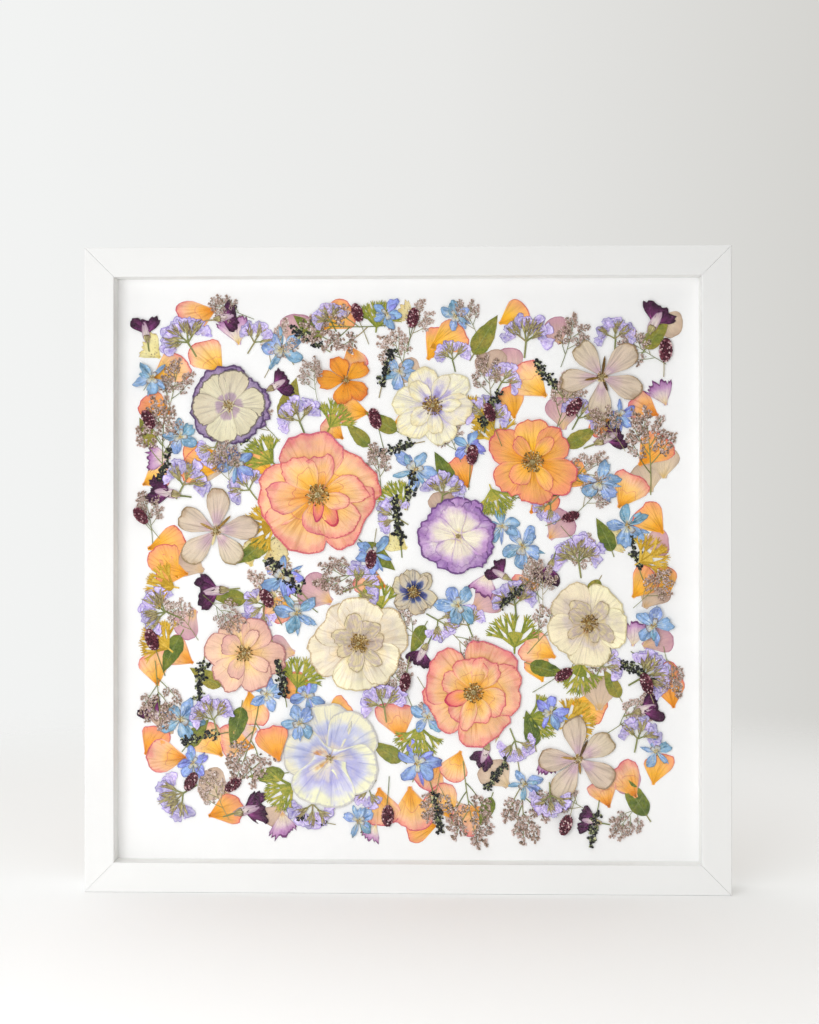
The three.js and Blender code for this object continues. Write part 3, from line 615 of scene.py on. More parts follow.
floretLooks = {
    "stamen": {
        "stops": [(0, "#4a3418"), (0.35, "#86652c"), (0.7, "#b8924a"), (0.92, "#e6d6a0")],
        "mottle": 0.15,
    },
    "paleHeart": {"stops": [(0, "#7c6a3e"), (0.5, "#b8a472"), (1, "#e6dab0")], "mottle": 0.2},
    "seaLavender": {
        "stops": [(0, "#4a3a2c"), (0.24, "#826c5a"), (0.46, "#b49c8a"), (0.64, "#cfb2ac"),
                  (0.84, "#eadad4"), (1, "#fdf8f2")],
        "mottle": 0.12,
    },
    "stem": {"stops": [(0, "#6c7642"), (0.5, "#8c9258"), (1, "#a3926a")], "mottle": 0.2},
    "burnet": {
        "stops": [(0, "#3c1220"), (0.5, "#5e2032"), (0.74, "#84404e"), (0.9, "#c99aa2"), (1, "#ead0cc")],
        "mottle": 0.1,
    },
    "darkCase": {
        "stops": [(0, "#18181c"), (0.5, "#29292c"), (0.72, "#454c38"), (0.88, "#8a9160"), (1, "#d6d6a8")],
        "mottle": 0.12,
    },
    "fernGreen": {"stops": [(0, "#76822c"), (0.5, "#9ca03e"), (1, "#c8b44c")], "mottle": 0.35},
    "fernGold": {"stops": [(0, "#b48c20"), (0.5, "#d8ae36"), (1, "#ecc85c")], "mottle": 0.3},
}

specimenMaterials = {look: petalMaterial(f"petal_dried_{look}", petalLooks[look]) for look in petalLooks}
for look, settings in floretLooks.items():
    specimenMaterials[look] = floretMaterial(f"floret_dried_{look}", {"mottleMm": 1.1, **settings})
specimenMaterials["leaf"] = leafMaterial("leaf_dried_green", {
    "stops": [(0.3, "#40521c"), (0.52, "#5f7428"), (0.74, "#868c30"), (1, "#a89a40")],
    "patchMm": 8, "fineMm": 1.8, "vein": "#8f9a58", "veinDepth": 0.6, "slant": 0.55, "sideVeins": 9,
})

print("stage: shapes of petals and stems")


def newSheaf():
    # A mesh in the making, with the map of its petals and a tone for each small part.
    sheaf = bmesh.new()
    sheaf.loops.layers.uv.new("petal")
    sheaf.verts.layers.float.new("tone")
    return sheaf


def mark(sheaf, verts, tone, slot):
    # Gives a small part its tone and its material.
    layer = sheaf.verts.layers.float["tone"]
    for vert in verts:
        vert[layer] = tone
        for face in vert.link_faces:
            face.material_index = slot


def placeAt(x=0, y=0, lift=0, turn=0, tilt=0, size=1):
    return (
        Matrix.Translation((x, y, lift)) @ Matrix.Rotation(math.radians(turn), 4, "Z")
        @ Matrix.Rotation(math.radians(tilt), 4, "X") @ Matrix.Scale(size, 4)
    )


def toMesh(sheaf):
    mesh = bpy.data.meshes.new("piece")
    sheaf.to_mesh(mesh)
    sheaf.free()
    return mesh


def stamp(target, mesh, place):
    # Adds a copy of a ready mesh.
    copy = mesh.copy()
    copy.transform(place)
    target.from_mesh(copy)
    bpy.data.meshes.remove(copy)


def addOn(target, sheaf, place):
    # Moves a sheaf to its place and joins it to another.
    bmesh.ops.transform(sheaf, matrix=place, verts=sheaf.verts)
    mesh = toMesh(sheaf)
    target.from_mesh(mesh)
    bpy.data.meshes.remove(mesh)


def polar(turn, reach, x=0, y=0):
    # The point at a reach from another. The turn is to the left from straight up.
    return Vector((x - reach * math.sin(math.radians(turn)), y + reach * math.cos(math.radians(turn))))


def petalOutline(form):
    # The rim from the left of the foot, round the tip, to its right.
    half = form["width"] / 2
    length = form["length"]
    foot = half * form["foot"]
    widest = length * form["belly"]
    crown = widest + (length - widest) * 0.55
    tip = length * (1 - form["notch"])
    steps = form["columns"] // 4 + 1
    side = interpolate_bezier(
        (-foot, 0), (-foot, widest * 0.4), (-half, widest * 0.6), (-half, widest), steps,
    )
    top = interpolate_bezier((-half, widest), (-half, crown), (-half * 0.55, length), (0, tip), steps)
    left = side[:-1] + top
    return left + [Vector((-point.x, point.y)) for point in reversed(left[:-1])]


# A slanted line on which no two faces of a sheet come out level
sortLine = Vector((1, 0.37, 0.11))


def thicken(sheet, thick):
    # A closed shell that faces outward: the sheet and a copy of it above, joined round the rim. The rim's
    # faces are made in another order each run, so the faces are sorted by where they lie.
    extruded = bmesh.ops.extrude_face_region(sheet, geom=sheet.faces[:])["geom"]
    top = [element for element in extruded if isinstance(element, bmesh.types.BMVert)]
    bmesh.ops.translate(sheet, vec=(0, 0, thick), verts=top)
    sheet.faces.sort(key=lambda face: face.calc_center_median().dot(sortLine))
    bmesh.ops.recalc_face_normals(sheet, faces=sheet.faces)
    if sheet.calc_volume(signed=True) < 0:
        bmesh.ops.reverse_faces(sheet, faces=sheet.faces)


# A petal's form in millimetres and shares of its size, where its own form says nothing else
plainPetal = {
    "foot": 0.2, "belly": 0.62, "notch": 0, "columns": 20, "rows": 7, "thick": 0.14, "cup": 0.25,
    "ripple": 0.12, "ripples": 3, "ragged": 0.02, "teeth": 8, "wavy": 0.03, "crumple": 0.35, "bend": 0,
}


def petalSheet(form, chance, slot=0):
    # One petal. Its rows fan out from the foot, so that the map runs from the foot to the rim everywhere.
    form = {**plainPetal, **form}
    outline = petalOutline(form)
    seed = chance.random() * 90
    sheet = newSheaf()
    bmesh.ops.create_grid(sheet, x_segments=form["columns"], y_segments=form["rows"], size=0.5)
    layer = sheet.loops.layers.uv["petal"]
    for face in sheet.faces:
        face.material_index = slot
        for loop in face.loops:
            loop[layer].uv = (loop.vert.co.x + 0.5, loop.vert.co.y + 0.5)
    for vert in sheet.verts:
        across, out = vert.co.x + 0.5, vert.co.y + 0.5
        edge = outline[round(across * form["columns"])]
        fray = form["ragged"] * 2 * noise.noise(Vector((across * form["teeth"] * 2, seed, 0))) * out ** 5
        lobes = form["wavy"] * 2 * noise.noise(Vector((across * 4, seed, 9)))
        x, y = edge * out * (1 + fray + lobes)
        x += form["bend"] * (y / form["length"]) ** 2
        wave = form["ripple"] * math.sin(math.tau * form["ripples"] * across + seed) * out ** 2
        crease = form["crumple"] * noise.noise(Vector((x, y, seed)) / 6) * out
        vert.co = (x, y, form["cup"] * out ** 2 + wave + crease)
    bmesh.ops.remove_doubles(sheet, verts=sheet.verts, dist=0.001)
    thicken(sheet, form["thick"])
    tone = chance.random()
    layer = sheet.verts.layers.float["tone"]
    for vert in sheet.verts:
        vert[layer] = tone
    return sheet


def addRod(sheaf, start, end, radii, tones, slot, sides=5):
    start, end = Vector(start), Vector(end)
    axis = end - start
    place = Matrix.Translation((start + end) / 2) @ axis.to_track_quat("Z", "Y").to_matrix().to_4x4()
    rod = bmesh.ops.create_cone(
        sheaf, cap_ends=True, segments=sides, radius1=radii[0], radius2=radii[1],
        depth=axis.length, matrix=place,
    )
    mark(sheaf, rod["verts"], tones[0], slot)
    layer = sheaf.verts.layers.float["tone"]
    for vert in rod["verts"]:
        if (vert.co - end).length < (vert.co - start).length:
            vert[layer] = tones[1]


def addBead(sheaf, at, size, tone, slot, turn=0, rounds=1):
    place = placeAt(*at, turn=turn) @ Matrix.Diagonal((*size, 1))
    bead = bmesh.ops.create_icosphere(sheaf, subdivisions=rounds, radius=1, matrix=place)
    mark(sheaf, bead["verts"], tone, slot)


def curvedStem(sheaf, start, turn, length, bend, radii, chance, slot, steps=6):
    # A stem that leans by bend to its right over its length. It returns its points.
    points = []
    for step in range(steps + 1):
        share = step / steps
        along = polar(turn, length * share, *start)
        aside = polar(turn - 90, bend * share ** 2, *along)
        points.append(Vector((*aside, 0.5)))
    tone = chance.random()
    for step in range(steps):
        share = step / steps
        thick = radii[0] + (radii[1] - radii[0]) * share
        thin = radii[0] + (radii[1] - radii[0]) * (share + 1 / steps)
        addRod(sheaf, points[step], points[step + 1], (thick, thin), (tone, tone), slot)
    return points


plainTuft = {"anther": 0.55, "filament": (0.15, 0.12), "heart": 0.34, "carpels": 16}


def stamenTuft(tuft, chance, slot, heartSlot):
    # A pressed ring of stamens round a low heart.
    tuft = {**plainTuft, **tuft}
    sheaf = newSheaf()
    for _ in range(tuft["count"]):
        turn = chance.uniform(0, 360)
        reach = tuft["radius"] * chance.uniform(0.5, 1.08)
        inner = polar(turn, tuft["radius"] * 0.15)
        outer = polar(turn + chance.uniform(-14, 14), reach)
        rise = chance.uniform(0.5, 1.3)
        tone = chance.uniform(0.15, 0.7)
        addRod(sheaf, (*inner, 0.3), (*outer, rise), tuft["filament"], (tone, tone + 0.2), slot, 4)
        size = tuft["anther"]
        bead = (size * chance.uniform(0.7, 1.2), size * chance.uniform(1.1, 1.9), size * 0.6)
        addBead(sheaf, (*outer, rise), bead, chance.random(), slot, turn + chance.uniform(-50, 50))
    heart = tuft["radius"] * tuft["heart"]
    addBead(sheaf, (0, 0, 0.8), (heart, heart, 0.7), 0.2, heartSlot, rounds=2)
    for _ in range(tuft["carpels"]):
        spot = polar(chance.uniform(0, 360), heart * math.sqrt(chance.random()))
        size = heart * 0.24
        addBead(sheaf, (*spot, 1.25), (size, size, size * 0.8), chance.random(), heartSlot)
    return sheaf


# The lift of each petal over the one before
stackStep = 0.17


def sway(i, seed):
    # An unevenness between -1 and 1, so that no two petals in a ring are alike.
    return math.sin(seed + i * 2.4)


def bloomSheaf(bloom, chance):
    # An open flower: its whorls from the back, each petal on the one before in a mixed order, and the tuft.
    sheaf = newSheaf()
    lift = 0
    for level, ring in enumerate(bloom["whorls"]):
        seed = bloom["seed"] + level
        count = ring["count"]
        order = chance.sample(range(count), count)
        loose = ring.get("loose", 0)
        for i in range(count):
            turn = ring["turn"] - 360 * i / count + ring.get("lean", 5) * sway(i + 1, seed)
            form = {**bloom.get("form", {}), **ring}
            form["length"] *= (0.96 + 0.04 * sway(i, seed)) * (1 - loose * chance.random())
            form["width"] *= 1 - 1.6 * loose * chance.random()
            form["notch"] = ring.get("notch", chance.choice((0, 0, 0.05, 0.09)))
            form["bend"] = chance.uniform(-1, 1) * loose * ring["length"] * 0.4
            sheet = petalSheet(form, chance, ring.get("slot", 0))
            turn += 30 * loose * sway(i, 5)
            addOn(sheaf, sheet, placeAt(lift=lift + order[i] * stackStep, turn=turn))
        lift += count * stackStep + 0.1
    for fold in bloom.get("folds", []):
        sheet = petalSheet({"crumple": 0.8, "ripple": 0.3, "ripples": 4, **fold}, chance, fold["slot"])
        addOn(sheaf, sheet, placeAt(lift=lift, turn=fold["turn"]))
        lift += stackStep
    for sepal in bloom.get("sepals", []):
        sheet = petalSheet({"columns": 8, "rows": 5, "belly": 0.5, **sepal}, chance, 2)
        addOn(sheaf, sheet, placeAt(lift=lift, turn=sepal["turn"]))
    addOn(sheaf, stamenTuft(bloom["tuft"], chance, bloom.get("tuftSlot", 2), 3), placeAt(lift=lift - 0.2))
    return sheaf


smoothBelow = math.radians(55)

# Lifts off the card: under a bloom, free on the card, the blooms themselves, and over a bloom
under, free, bloomLift, over = 0.1, 0.3, 2.1, 3.8
underFlat = 0.22


def present(name, sheaf, palette):
    # Lays a finished sheaf on the card as a piece.
    bmesh.ops.transform(sheaf, matrix=bed, verts=sheaf.verts)
    mesh = toMesh(sheaf)
    mesh.name = name
    for look in palette:
        mesh.materials.append(specimenMaterials[look])
    mesh.shade_smooth()
    mesh.set_sharp_from_angle(angle=smoothBelow)
    piece = bpy.data.objects.new(name, mesh)
    bpy.context.collection.objects.link(piece)
    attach(piece, "root")
    return piece


def replaceNode(node, sheaf, palette, at, turn, lift=free):
    bmesh.ops.transform(sheaf, matrix=placeAt(*at, lift=lift, turn=turn), verts=sheaf.verts)
    piece = present(f"pressed_{node}", sheaf, palette)
    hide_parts(node)


def scatter(name, palette, build, places, seed, layer):
    # Many small specimens of one kind, joined. A place is x, y, turn, size and lift. Those that lie under
    # the blooms are pressed flatter, and each kind has a layer, so that petals keep clear of each other.
    chance = random.Random(seed)
    sheaf = newSheaf()
    for x, y, turn, size, lift in places:
        flat = Matrix.Diagonal((1, 1, underFlat if lift == under else 1, 1))
        addOn(sheaf, build(chance), placeAt(x, y, lift + layer, turn, size=size) @ flat)
    piece = present(name, sheaf, palette)


print("stage: blooms")

roseForm = {"columns": 28, "rows": 8, "ragged": 0.035, "teeth": 9, "wavy": 0.06}
discForm = {"columns": 36, "rows": 7, "ragged": 0.05, "teeth": 22, "ripple": 0.2, "ripples": 6}
rosePalette = ["apricot", "apricotFold", "stamen", "paleHeart"]
blooms = {
    "rose_apricot": {
        "at": (-70, 58), "turn": 12, "seed": 1, "form": roseForm, "palette": rosePalette,
        "whorls": [
            {"count": 5, "turn": 0, "length": 52, "width": 54, "belly": 0.64, "lean": 9, "loose": 0.06},
            {"count": 6, "turn": 34, "length": 45, "width": 40, "loose": 0.28},
        ],
        "folds": [
            {"turn": 200, "length": 29, "width": 13, "belly": 0.5, "slot": 1},
            {"turn": 176, "length": 21, "width": 9, "belly": 0.45, "bend": 3, "slot": 1},
            {"turn": 236, "length": 26, "width": 15, "belly": 0.6, "bend": -3, "slot": 0},
        ],
        "tuft": {"radius": 8.6, "count": 120, "heart": 0.26},
    },
    "rose_peach": {
        "at": (52, -96), "turn": -20, "seed": 2, "form": roseForm, "palette": rosePalette,
        "whorls": [
            {"count": 5, "turn": 0, "length": 45, "width": 47, "belly": 0.64, "lean": 9, "loose": 0.06},
            {"count": 6, "turn": 36, "length": 38, "width": 33, "loose": 0.3},
        ],
        "folds": [
            {"turn": 186, "length": 31, "width": 13, "belly": 0.5, "slot": 0},
            {"turn": 130, "length": 24, "width": 13, "belly": 0.55, "slot": 1},
        ],
        "tuft": {"radius": 7.4, "count": 105, "heart": 0.26},
    },
    "rose_orange": {
        "at": (98, 84), "turn": 5, "seed": 3, "form": roseForm,
        "palette": ["orange", "apricotFold", "stamen", "paleHeart"],
        "whorls": [
            {"count": 6, "turn": 0, "length": 37, "width": 29},
            {"count": 4, "turn": 40, "length": 28, "width": 20, "belly": 0.64, "loose": 0.3},
        ],
        "tuft": {"radius": 7.8, "count": 110, "heart": 0.26},
    },
    "rose_blush": {
        "at": (-128, -66), "turn": 24, "seed": 4, "form": roseForm,
        "palette": ["blush", "apricotFold", "stamen", "paleHeart"],
        "whorls": [
            {"count": 6, "turn": 0, "length": 33, "width": 27},
            {"count": 4, "turn": 36, "length": 26, "width": 19, "loose": 0.3},
        ],
        "tuft": {"radius": 6.4, "count": 90, "heart": 0.26},
    },
    "rose_cream": {
        "at": (-38, -58), "turn": -8, "seed": 5, "form": roseForm,
        "palette": ["cream", "creamInner", "stamen", "paleHeart"],
        "whorls": [
            {"count": 6, "turn": 0, "length": 40, "width": 36, "belly": 0.66},
            {"count": 7, "turn": 26, "length": 27, "width": 17, "belly": 0.6, "slot": 1, "loose": 0.3,
             "crumple": 1.0, "wavy": 0.1},
        ],
        "tuft": {"radius": 7.4, "count": 84, "heart": 0.2},
    },
    "rose_ivory": {
        "at": (20, 128), "turn": 18, "seed": 6, "form": roseForm,
        "palette": ["ivory", "ivory", "stamen", "paleHeart"],
        "whorls": [
            {"count": 6, "turn": 0, "length": 34, "width": 25, "belly": 0.6, "foot": 0.3},
            {"count": 5, "turn": 30, "length": 29, "width": 18, "belly": 0.62, "slot": 1, "loose": 0.3,
             "crumple": 0.9},
        ],
        "tuft": {"radius": 7.2, "count": 100, "heart": 0.2},
    },
    "rose_tea": {
        "at": (142, -42), "turn": 40, "seed": 7, "form": roseForm,
        "palette": ["tea", "creamInner", "stamen", "paleHeart"],
        "whorls": [
            {"count": 5, "turn": 0, "length": 34, "width": 33, "belly": 0.66},
            {"count": 6, "turn": 34, "length": 25, "width": 16, "belly": 0.6, "slot": 1, "loose": 0.35,
             "crumple": 1.0},
        ],
        "tuft": {"radius": 6.6, "count": 80, "heart": 0.2},
    },
    "pinks_purple": {
        "at": (40, 26), "turn": 0, "seed": 8, "form": discForm,
        "palette": ["violetDisc", "violetHeart", "stamen", "paleHeart"],
        "whorls": [
            {"count": 7, "turn": 0, "length": 31, "width": 34, "belly": 0.72, "foot": 0.3},
            {"count": 6, "turn": 20, "length": 26, "width": 22, "belly": 0.74, "foot": 0.3, "slot": 1,
             "loose": 0.1},
        ],
        "tuft": {"radius": 2.8, "count": 16, "heart": 0.5, "anther": 0.3, "carpels": 8},
    },
    "pinks_cream": {
        "at": (-140, 128), "turn": 14, "seed": 9, "form": discForm,
        "palette": ["discFringe", "discFan", "stamen", "paleHeart"],
        "whorls": [
            {"count": 7, "turn": 0, "length": 32, "width": 36, "belly": 0.7, "foot": 0.3},
            {"count": 6, "turn": 30, "length": 30, "width": 26, "belly": 0.74, "foot": 0.3, "slot": 1,
             "loose": 0.06, "ragged": 0.03},
        ],
        "tuft": {"radius": 4.6, "count": 40, "heart": 0.4, "anther": 0.4, "carpels": 8},
    },
    "nigella": {
        "at": (5, -18), "turn": 10, "seed": 10, "form": {"ragged": 0.06, "wavy": 0.06, "crumple": 0.7},
        "palette": ["inkBlue", "inkBlue", "stamen", "paleHeart"],
        "whorls": [
            {"count": 6, "turn": 0, "length": 20, "width": 14},
            {"count": 4, "turn": 30, "length": 19, "width": 10, "loose": 0.2},
        ],
        "tuft": {"radius": 5.4, "count": 60, "heart": 0.26, "anther": 0.45},
    },
    "cosmos": {
        "at": (-48, 148), "turn": 20, "seed": 11, "form": {"ragged": 0.07, "wavy": 0.06, "crumple": 0.7},
        "palette": ["goldenPetal", "goldenPetal", "stamen", "paleHeart"],
        "whorls": [
            {"count": 5, "turn": 0, "length": 23, "width": 16, "belly": 0.66, "foot": 0.14, "loose": 0.08},
        ],
        "tuft": {"radius": 3.4, "count": 30, "heart": 0.4, "anther": 0.35, "carpels": 8},
    },
}

mauveBloom = {
    "palette": ["mauve", "mauve", "stamen", "paleHeart"], "form": {"crumple": 0.6, "wavy": 0.04},
    "whorls": [{
        "count": 5, "turn": 0, "lean": 7, "length": 36, "width": 20, "belly": 0.68, "foot": 0.14,
        "loose": 0.05,
    }],
    "sepals": [
        {"turn": 70, "length": 14, "width": 2.2},
        {"turn": -38, "length": 17, "width": 2.4},
        {"turn": 172, "length": 12, "width": 2.2},
    ],
    "tuft": {"radius": 4, "count": 34, "heart": 0.5, "anther": 0.45, "carpels": 14},
}
mauves = {
    "mauve_upper": {"at": (152, 150), "turn": 30, "seed": 12},
    "mauve_left": {"at": (-150, 30), "turn": -6, "seed": 13},
    "mauve_lower": {"at": (134, -148), "turn": 14, "seed": 14},
}
for node, settings in mauves.items():
    blooms[node] = {**mauveBloom, **settings}

for node, bloom in blooms.items():
    chance = random.Random(bloom["seed"])
    replaceNode(node, bloomSheaf(bloom, chance), bloom["palette"], bloom["at"], bloom["turn"], bloomLift)

pansy = {
    "at": (-60, -148), "turn": -14, "palette": ["pansy", "pansy", "stamen", "paleHeart"],
    "form": {"columns": 28, "rows": 9, "foot": 0.4, "ripple": 0.2, "crumple": 0.5, "wavy": 0.04},
    "petals": [
        {"turn": 24, "lift": 0, "length": 42, "width": 44},
        {"turn": -30, "lift": 0.25, "length": 42, "width": 44},
        {"turn": 92, "lift": 0.5, "length": 38, "width": 40},
        {"turn": -96, "lift": 0.7, "length": 38, "width": 40},
        {"turn": 180, "lift": 0.95, "length": 40, "width": 52, "foot": 0.5, "notch": 0.08},
    ],
    "tuft": {"radius": 3.4, "count": 18, "heart": 0.5, "anther": 0.4, "carpels": 6},
}


def pansySheaf(chance):
    sheaf = newSheaf()
    for petal in pansy["petals"]:
        sheet = petalSheet({**pansy["form"], **petal}, chance)
        addOn(sheaf, sheet, placeAt(lift=petal["lift"], turn=petal["turn"]))
    addOn(sheaf, stamenTuft(pansy["tuft"], chance, 2, 3), placeAt(lift=1.1))
    return sheaf


replaceNode("pansy", pansySheaf(random.Random(15)), pansy["palette"], pansy["at"], pansy["turn"], bloomLift)

print("stage: larkspur")

larkspur = {
    "palette": ["larkspur", "larkspurHeart", "stem", "stamen"],
    "deepPalette": ["larkspurDeep", "larkspurHeart", "stem", "stamen"],
    "sepal": {"length": 18, "width": 11, "belly": 0.6, "foot": 0.15, "columns": 16, "rows": 5,
              "ragged": 0.1, "teeth": 8, "wavy": 0.12, "crumple": 1.3, "ripple": 0.3, "ripples": 4},
    "spur": {"length": 19, "width": 3.6, "foot": 0.7, "belly": 0.3, "columns": 8, "rows": 6,
             "crumple": 1.0},
    "inner": {"length": 8, "width": 4.2, "foot": 0.4, "columns": 8, "rows": 4, "crumple": 0.8,
              "notch": 0.12},
    "sepals": 5, "stamens": 12, "stamen": (0.4, 0.9, 0.4), "stalk": 15,
}


def larkspurSheaf(chance, seed=None):
    # Five sepals, some of them folded, the spur behind, the inner petals that stayed on, and the stalk.
    seed = chance.uniform(0, 9) if seed is None else seed
    sheaf = newSheaf()
    stalkTurn = chance.uniform(140, 220)
    stalk = larkspur["stalk"]
    curvedStem(sheaf, (0, 0), stalkTurn, stalk, chance.uniform(-3, 3), (0.4, 0.35), chance, 2, 3)
    addOn(sheaf, petalSheet(larkspur["spur"], chance), placeAt(lift=0.1, turn=stalkTurn + 20))
    sepal, sepals = larkspur["sepal"], larkspur["sepals"]
    turns = [-360 / sepals * i + 6 * sway(i + 1, seed) + chance.uniform(-8, 8) for i in range(sepals)]
    turns += [chance.uniform(0, 360) for _ in range(chance.choice((1, 2, 3)))]
    for i, turn in enumerate(turns):
        extra = i >= sepals
        folded = extra or chance.random() < 0.2
        shorter = chance.uniform(0.62, 0.85) if extra else 1
        length = sepal["length"] * (0.96 + 0.04 * sway(i, seed)) * shorter
        width = sepal["width"] * (chance.uniform(0.4, 0.55) if folded else chance.uniform(0.82, 1.05))
        bend = chance.uniform(-3, 3)
        form = {**sepal, "length": length, "width": width, "bend": bend}
        addOn(sheaf, petalSheet(form, chance), placeAt(lift=0.3 + i * 0.16, turn=turn))
    for i in range(3):
        turn = chance.uniform(0, 360)
        addOn(sheaf, petalSheet(larkspur["inner"], chance, 1), placeAt(lift=1.5 + 0.12 * i, turn=turn))
    for _ in range(larkspur["stamens"]):
        spot = polar(chance.uniform(0, 360), chance.uniform(0.3, 2.6))
        tone = chance.uniform(0.4, 1)
        addBead(sheaf, (*spot, 2.0), larkspur["stamen"], tone, 3, chance.uniform(0, 180))
    return sheaf


larkspurPlaces = [
    (-98, 172, 10), (6, 78, 40), (-98, -6, 62), (172, 34, 18), (-178, -118, 50), (8, -152, 5), (90, 18, 33),
]
for i, (x, y, turn) in enumerate(larkspurPlaces):
    palette = larkspur["deepPalette" if i % 3 == 2 else "palette"]
    replaceNode(f"larkspur_{i + 1}", larkspurSheaf(random.Random(20 + i), 20 + i), palette, (x, y), turn)

scatter("larkspur_florets_small", larkspur["palette"], larkspurSheaf, [
    (38, 198, 12, 0.7, free), (150, 68, 70, 0.95, free), (40, -28, 25, 0.95, free),
    (-38, -197, 15, 0.75, free), (194, -142, 10, 0.75, free), (192, -44, 130, 0.9, over),
    (-84, -120, 20, 0.8, over), (-178, 104, 20, 0.8, free), (-86, -34, 20, 1.0, free),
    (-6, 154, 30, 0.8, under), (-200, 150, -40, 0.8, over), (74, 34, 10, 0.8, under),
    (-110, -98, 60, 0.8, under), (92, -168, 20, 0.75, free), (16, -116, 70, 0.8, under),
], seed=40, layer=0.95)
scatter("larkspur_florets_deep", larkspur["deepPalette"], larkspurSheaf, [
    (-134, 82, 20, 0.85, free), (112, -112, 60, 0.8, free), (-16, 200, -30, 0.7, free),
    (-26, 12, 40, 0.85, free), (166, 120, 0, 0.7, free), (-78, -100, 30, 0.8, under),
    (48, 96, 50, 0.75, under), (-168, -152, 10, 0.75, free),
], seed=41, layer=1.05)

print("stage: statice")

statice = {
    "palette": ["staticeFan", "bract", "stem"],
    "fan": {"length": 9.2, "width": 10.4, "foot": 0.3, "belly": 0.72, "columns": 12, "rows": 2,
            "ragged": 0.2, "teeth": 6, "ripple": 0.5, "ripples": 3, "crumple": 0.9, "wavy": 0.16,
            "thick": 0.12},
    "fanPlaces": [(-18, 0.72), (14, 0.8), (-8, 1.08), (10, 1.02), (-29, 0.96), (27, 0.94), (1, 0.86)],
    "bract": {"length": 10, "width": 1.7, "foot": 0.3, "belly": 0.5, "columns": 4, "rows": 2,
              "crumple": 0.8, "thick": 0.2},
    "stalk": 13, "heads": 4, "smallHeads": 3, "spread": 110, "bracts": 13,
}
variety = random.Random(50)
staticeFans = [toMesh(petalSheet(statice["fan"], variety)) for _ in range(10)]
staticeBracts = [toMesh(petalSheet(statice["bract"], variety, 1)) for _ in range(10)]


def staticeSheaf(chance, heads=statice["smallHeads"]):
    # Papery fans over sheaves of thin bracts, on a forked stem.
    stalk = statice["stalk"]
    sheaf = newSheaf()
    curvedStem(sheaf, (0, -stalk), 0, stalk, chance.uniform(-1, 1), (0.7, 0.8), chance, 2, 3)
    for i in range(heads):
        turn = statice["spread"] * (i / (heads - 1) - 0.5) + chance.uniform(-7, 7)
        curvedStem(sheaf, (0, 0), turn, stalk * 0.7, chance.uniform(-1, 1), (0.7, 0.6), chance, 2, 2)
        for step, (aside, out) in enumerate(statice["fanPlaces"]):
            foot = polar(turn + aside, stalk * out * chance.uniform(0.84, 1.08))
            lift = 0.4 + 0.1 * i + 0.16 * step
            turned = turn + aside * 1.6 + chance.uniform(-34, 34)
            place = placeAt(*foot, lift, turned, size=chance.uniform(0.66, 1.02))
            stamp(sheaf, chance.choice(staticeFans), place)
        for _ in range(statice["bracts"]):
            foot = polar(turn + chance.uniform(-15, 15), stalk * chance.uniform(0.35, 0.95))
            turned = turn + chance.uniform(-36, 36)
            place = placeAt(*foot, 1.3 + 0.1 * i, turned, chance.uniform(0, 6), chance.uniform(0.6, 1.05))
            stamp(sheaf, chance.choice(staticeBracts), place)
    return sheaf


staticePlaces = [
    (-172, 178, 30), (93, 178, -6), (-190, -34, 70), (184, -84, -60), (134, 6, 8), (-176, -176, 120),
]
for i, (x, y, turn) in enumerate(staticePlaces):
    sheaf = staticeSheaf(random.Random(60 + i), statice["heads"])
    replaceNode(f"statice_{i + 1}", sheaf, statice["palette"], (x, y), turn)

scatter("statice_sprigs_upper", statice["palette"], staticeSheaf, [
    (162, 180, 0, 0.8, free), (-84, 116, 20, 0.9, free), (62, 118, -8, 0.9, under),
    (-176, 66, -26, 0.95, free), (28, 58, -10, 0.9, free), (-120, 178, -30, 0.8, under),
    (-60, 194, 30, 0.7, free), (-8, 40, 60, 0.8, under), (134, 118, -30, 0.8, under),
    (74, 146, -30, 0.75, under), (-150, 96, 160, 0.8, under), (112, 52, 130, 0.75, under),
    (36, 164, 10, 0.75, under), (-124, 62, 40, 0.8, under),
], seed=70, layer=1.0)
scatter("statice_sprigs_lower", statice["palette"], staticeSheaf, [
    (-40, -14, -70, 0.95, under), (84, -28, 8, 0.9, free), (-74, -184, 176, 0.9, free),
    (112, -176, 186, 0.8, over), (180, -132, -14, 0.85, free), (-112, -28, 130, 0.85, under),
    (-18, -108, 10, 0.9, over), (-152, -118, 20, 0.9, over), (24, -40, -120, 0.8, under),
    (84, -134, 200, 0.8, under), (152, -76, -30, 0.8, under), (48, -44, 20, 0.75, under),
    (-30, -172, 140, 0.7, under),
], seed=71, layer=1.0)

print("stage: sea lavender")

spray = {
    "palette": ["stem", "seaLavender"], "length": 56, "twigs": 5, "headLength": 12, "headWidth": 6.4,
    "florets": 25, "floretLength": 2.4, "floretRadii": (0.6, 1.15),
}


def lavenderHead(chance):
    # A short head crowded with tiny florets: brown tubes that open to pale mouths.
    sheaf = newSheaf()
    length, half = spray["headLength"], spray["headWidth"] / 2
    for _ in range(spray["florets"]):
        along = chance.random()
        x = chance.uniform(-1, 1) * half * math.sin(math.pi * (0.2 + 0.66 * along))
        foot = Vector((x, along * length, chance.uniform(0.3, 1.2)))
        tip = polar(-16 * x + chance.uniform(-40, 40), spray["floretLength"] * chance.uniform(0.7, 1.1))
        shade = chance.uniform(0, 0.55)
        tones = (shade, min(1, shade + chance.uniform(0.15, 0.6)))
        addRod(sheaf, foot, foot + Vector((*tip, 0.4)), spray["floretRadii"], tones, 1, 3)
    addRod(sheaf, (0, -0.5, 0.5), (0, length * 0.8, 0.5), (0.3, 0.2), (0.5, 0.5), 0, 4)
    return sheaf


lavenderHeads = [toMesh(lavenderHead(variety)) for _ in range(12)]


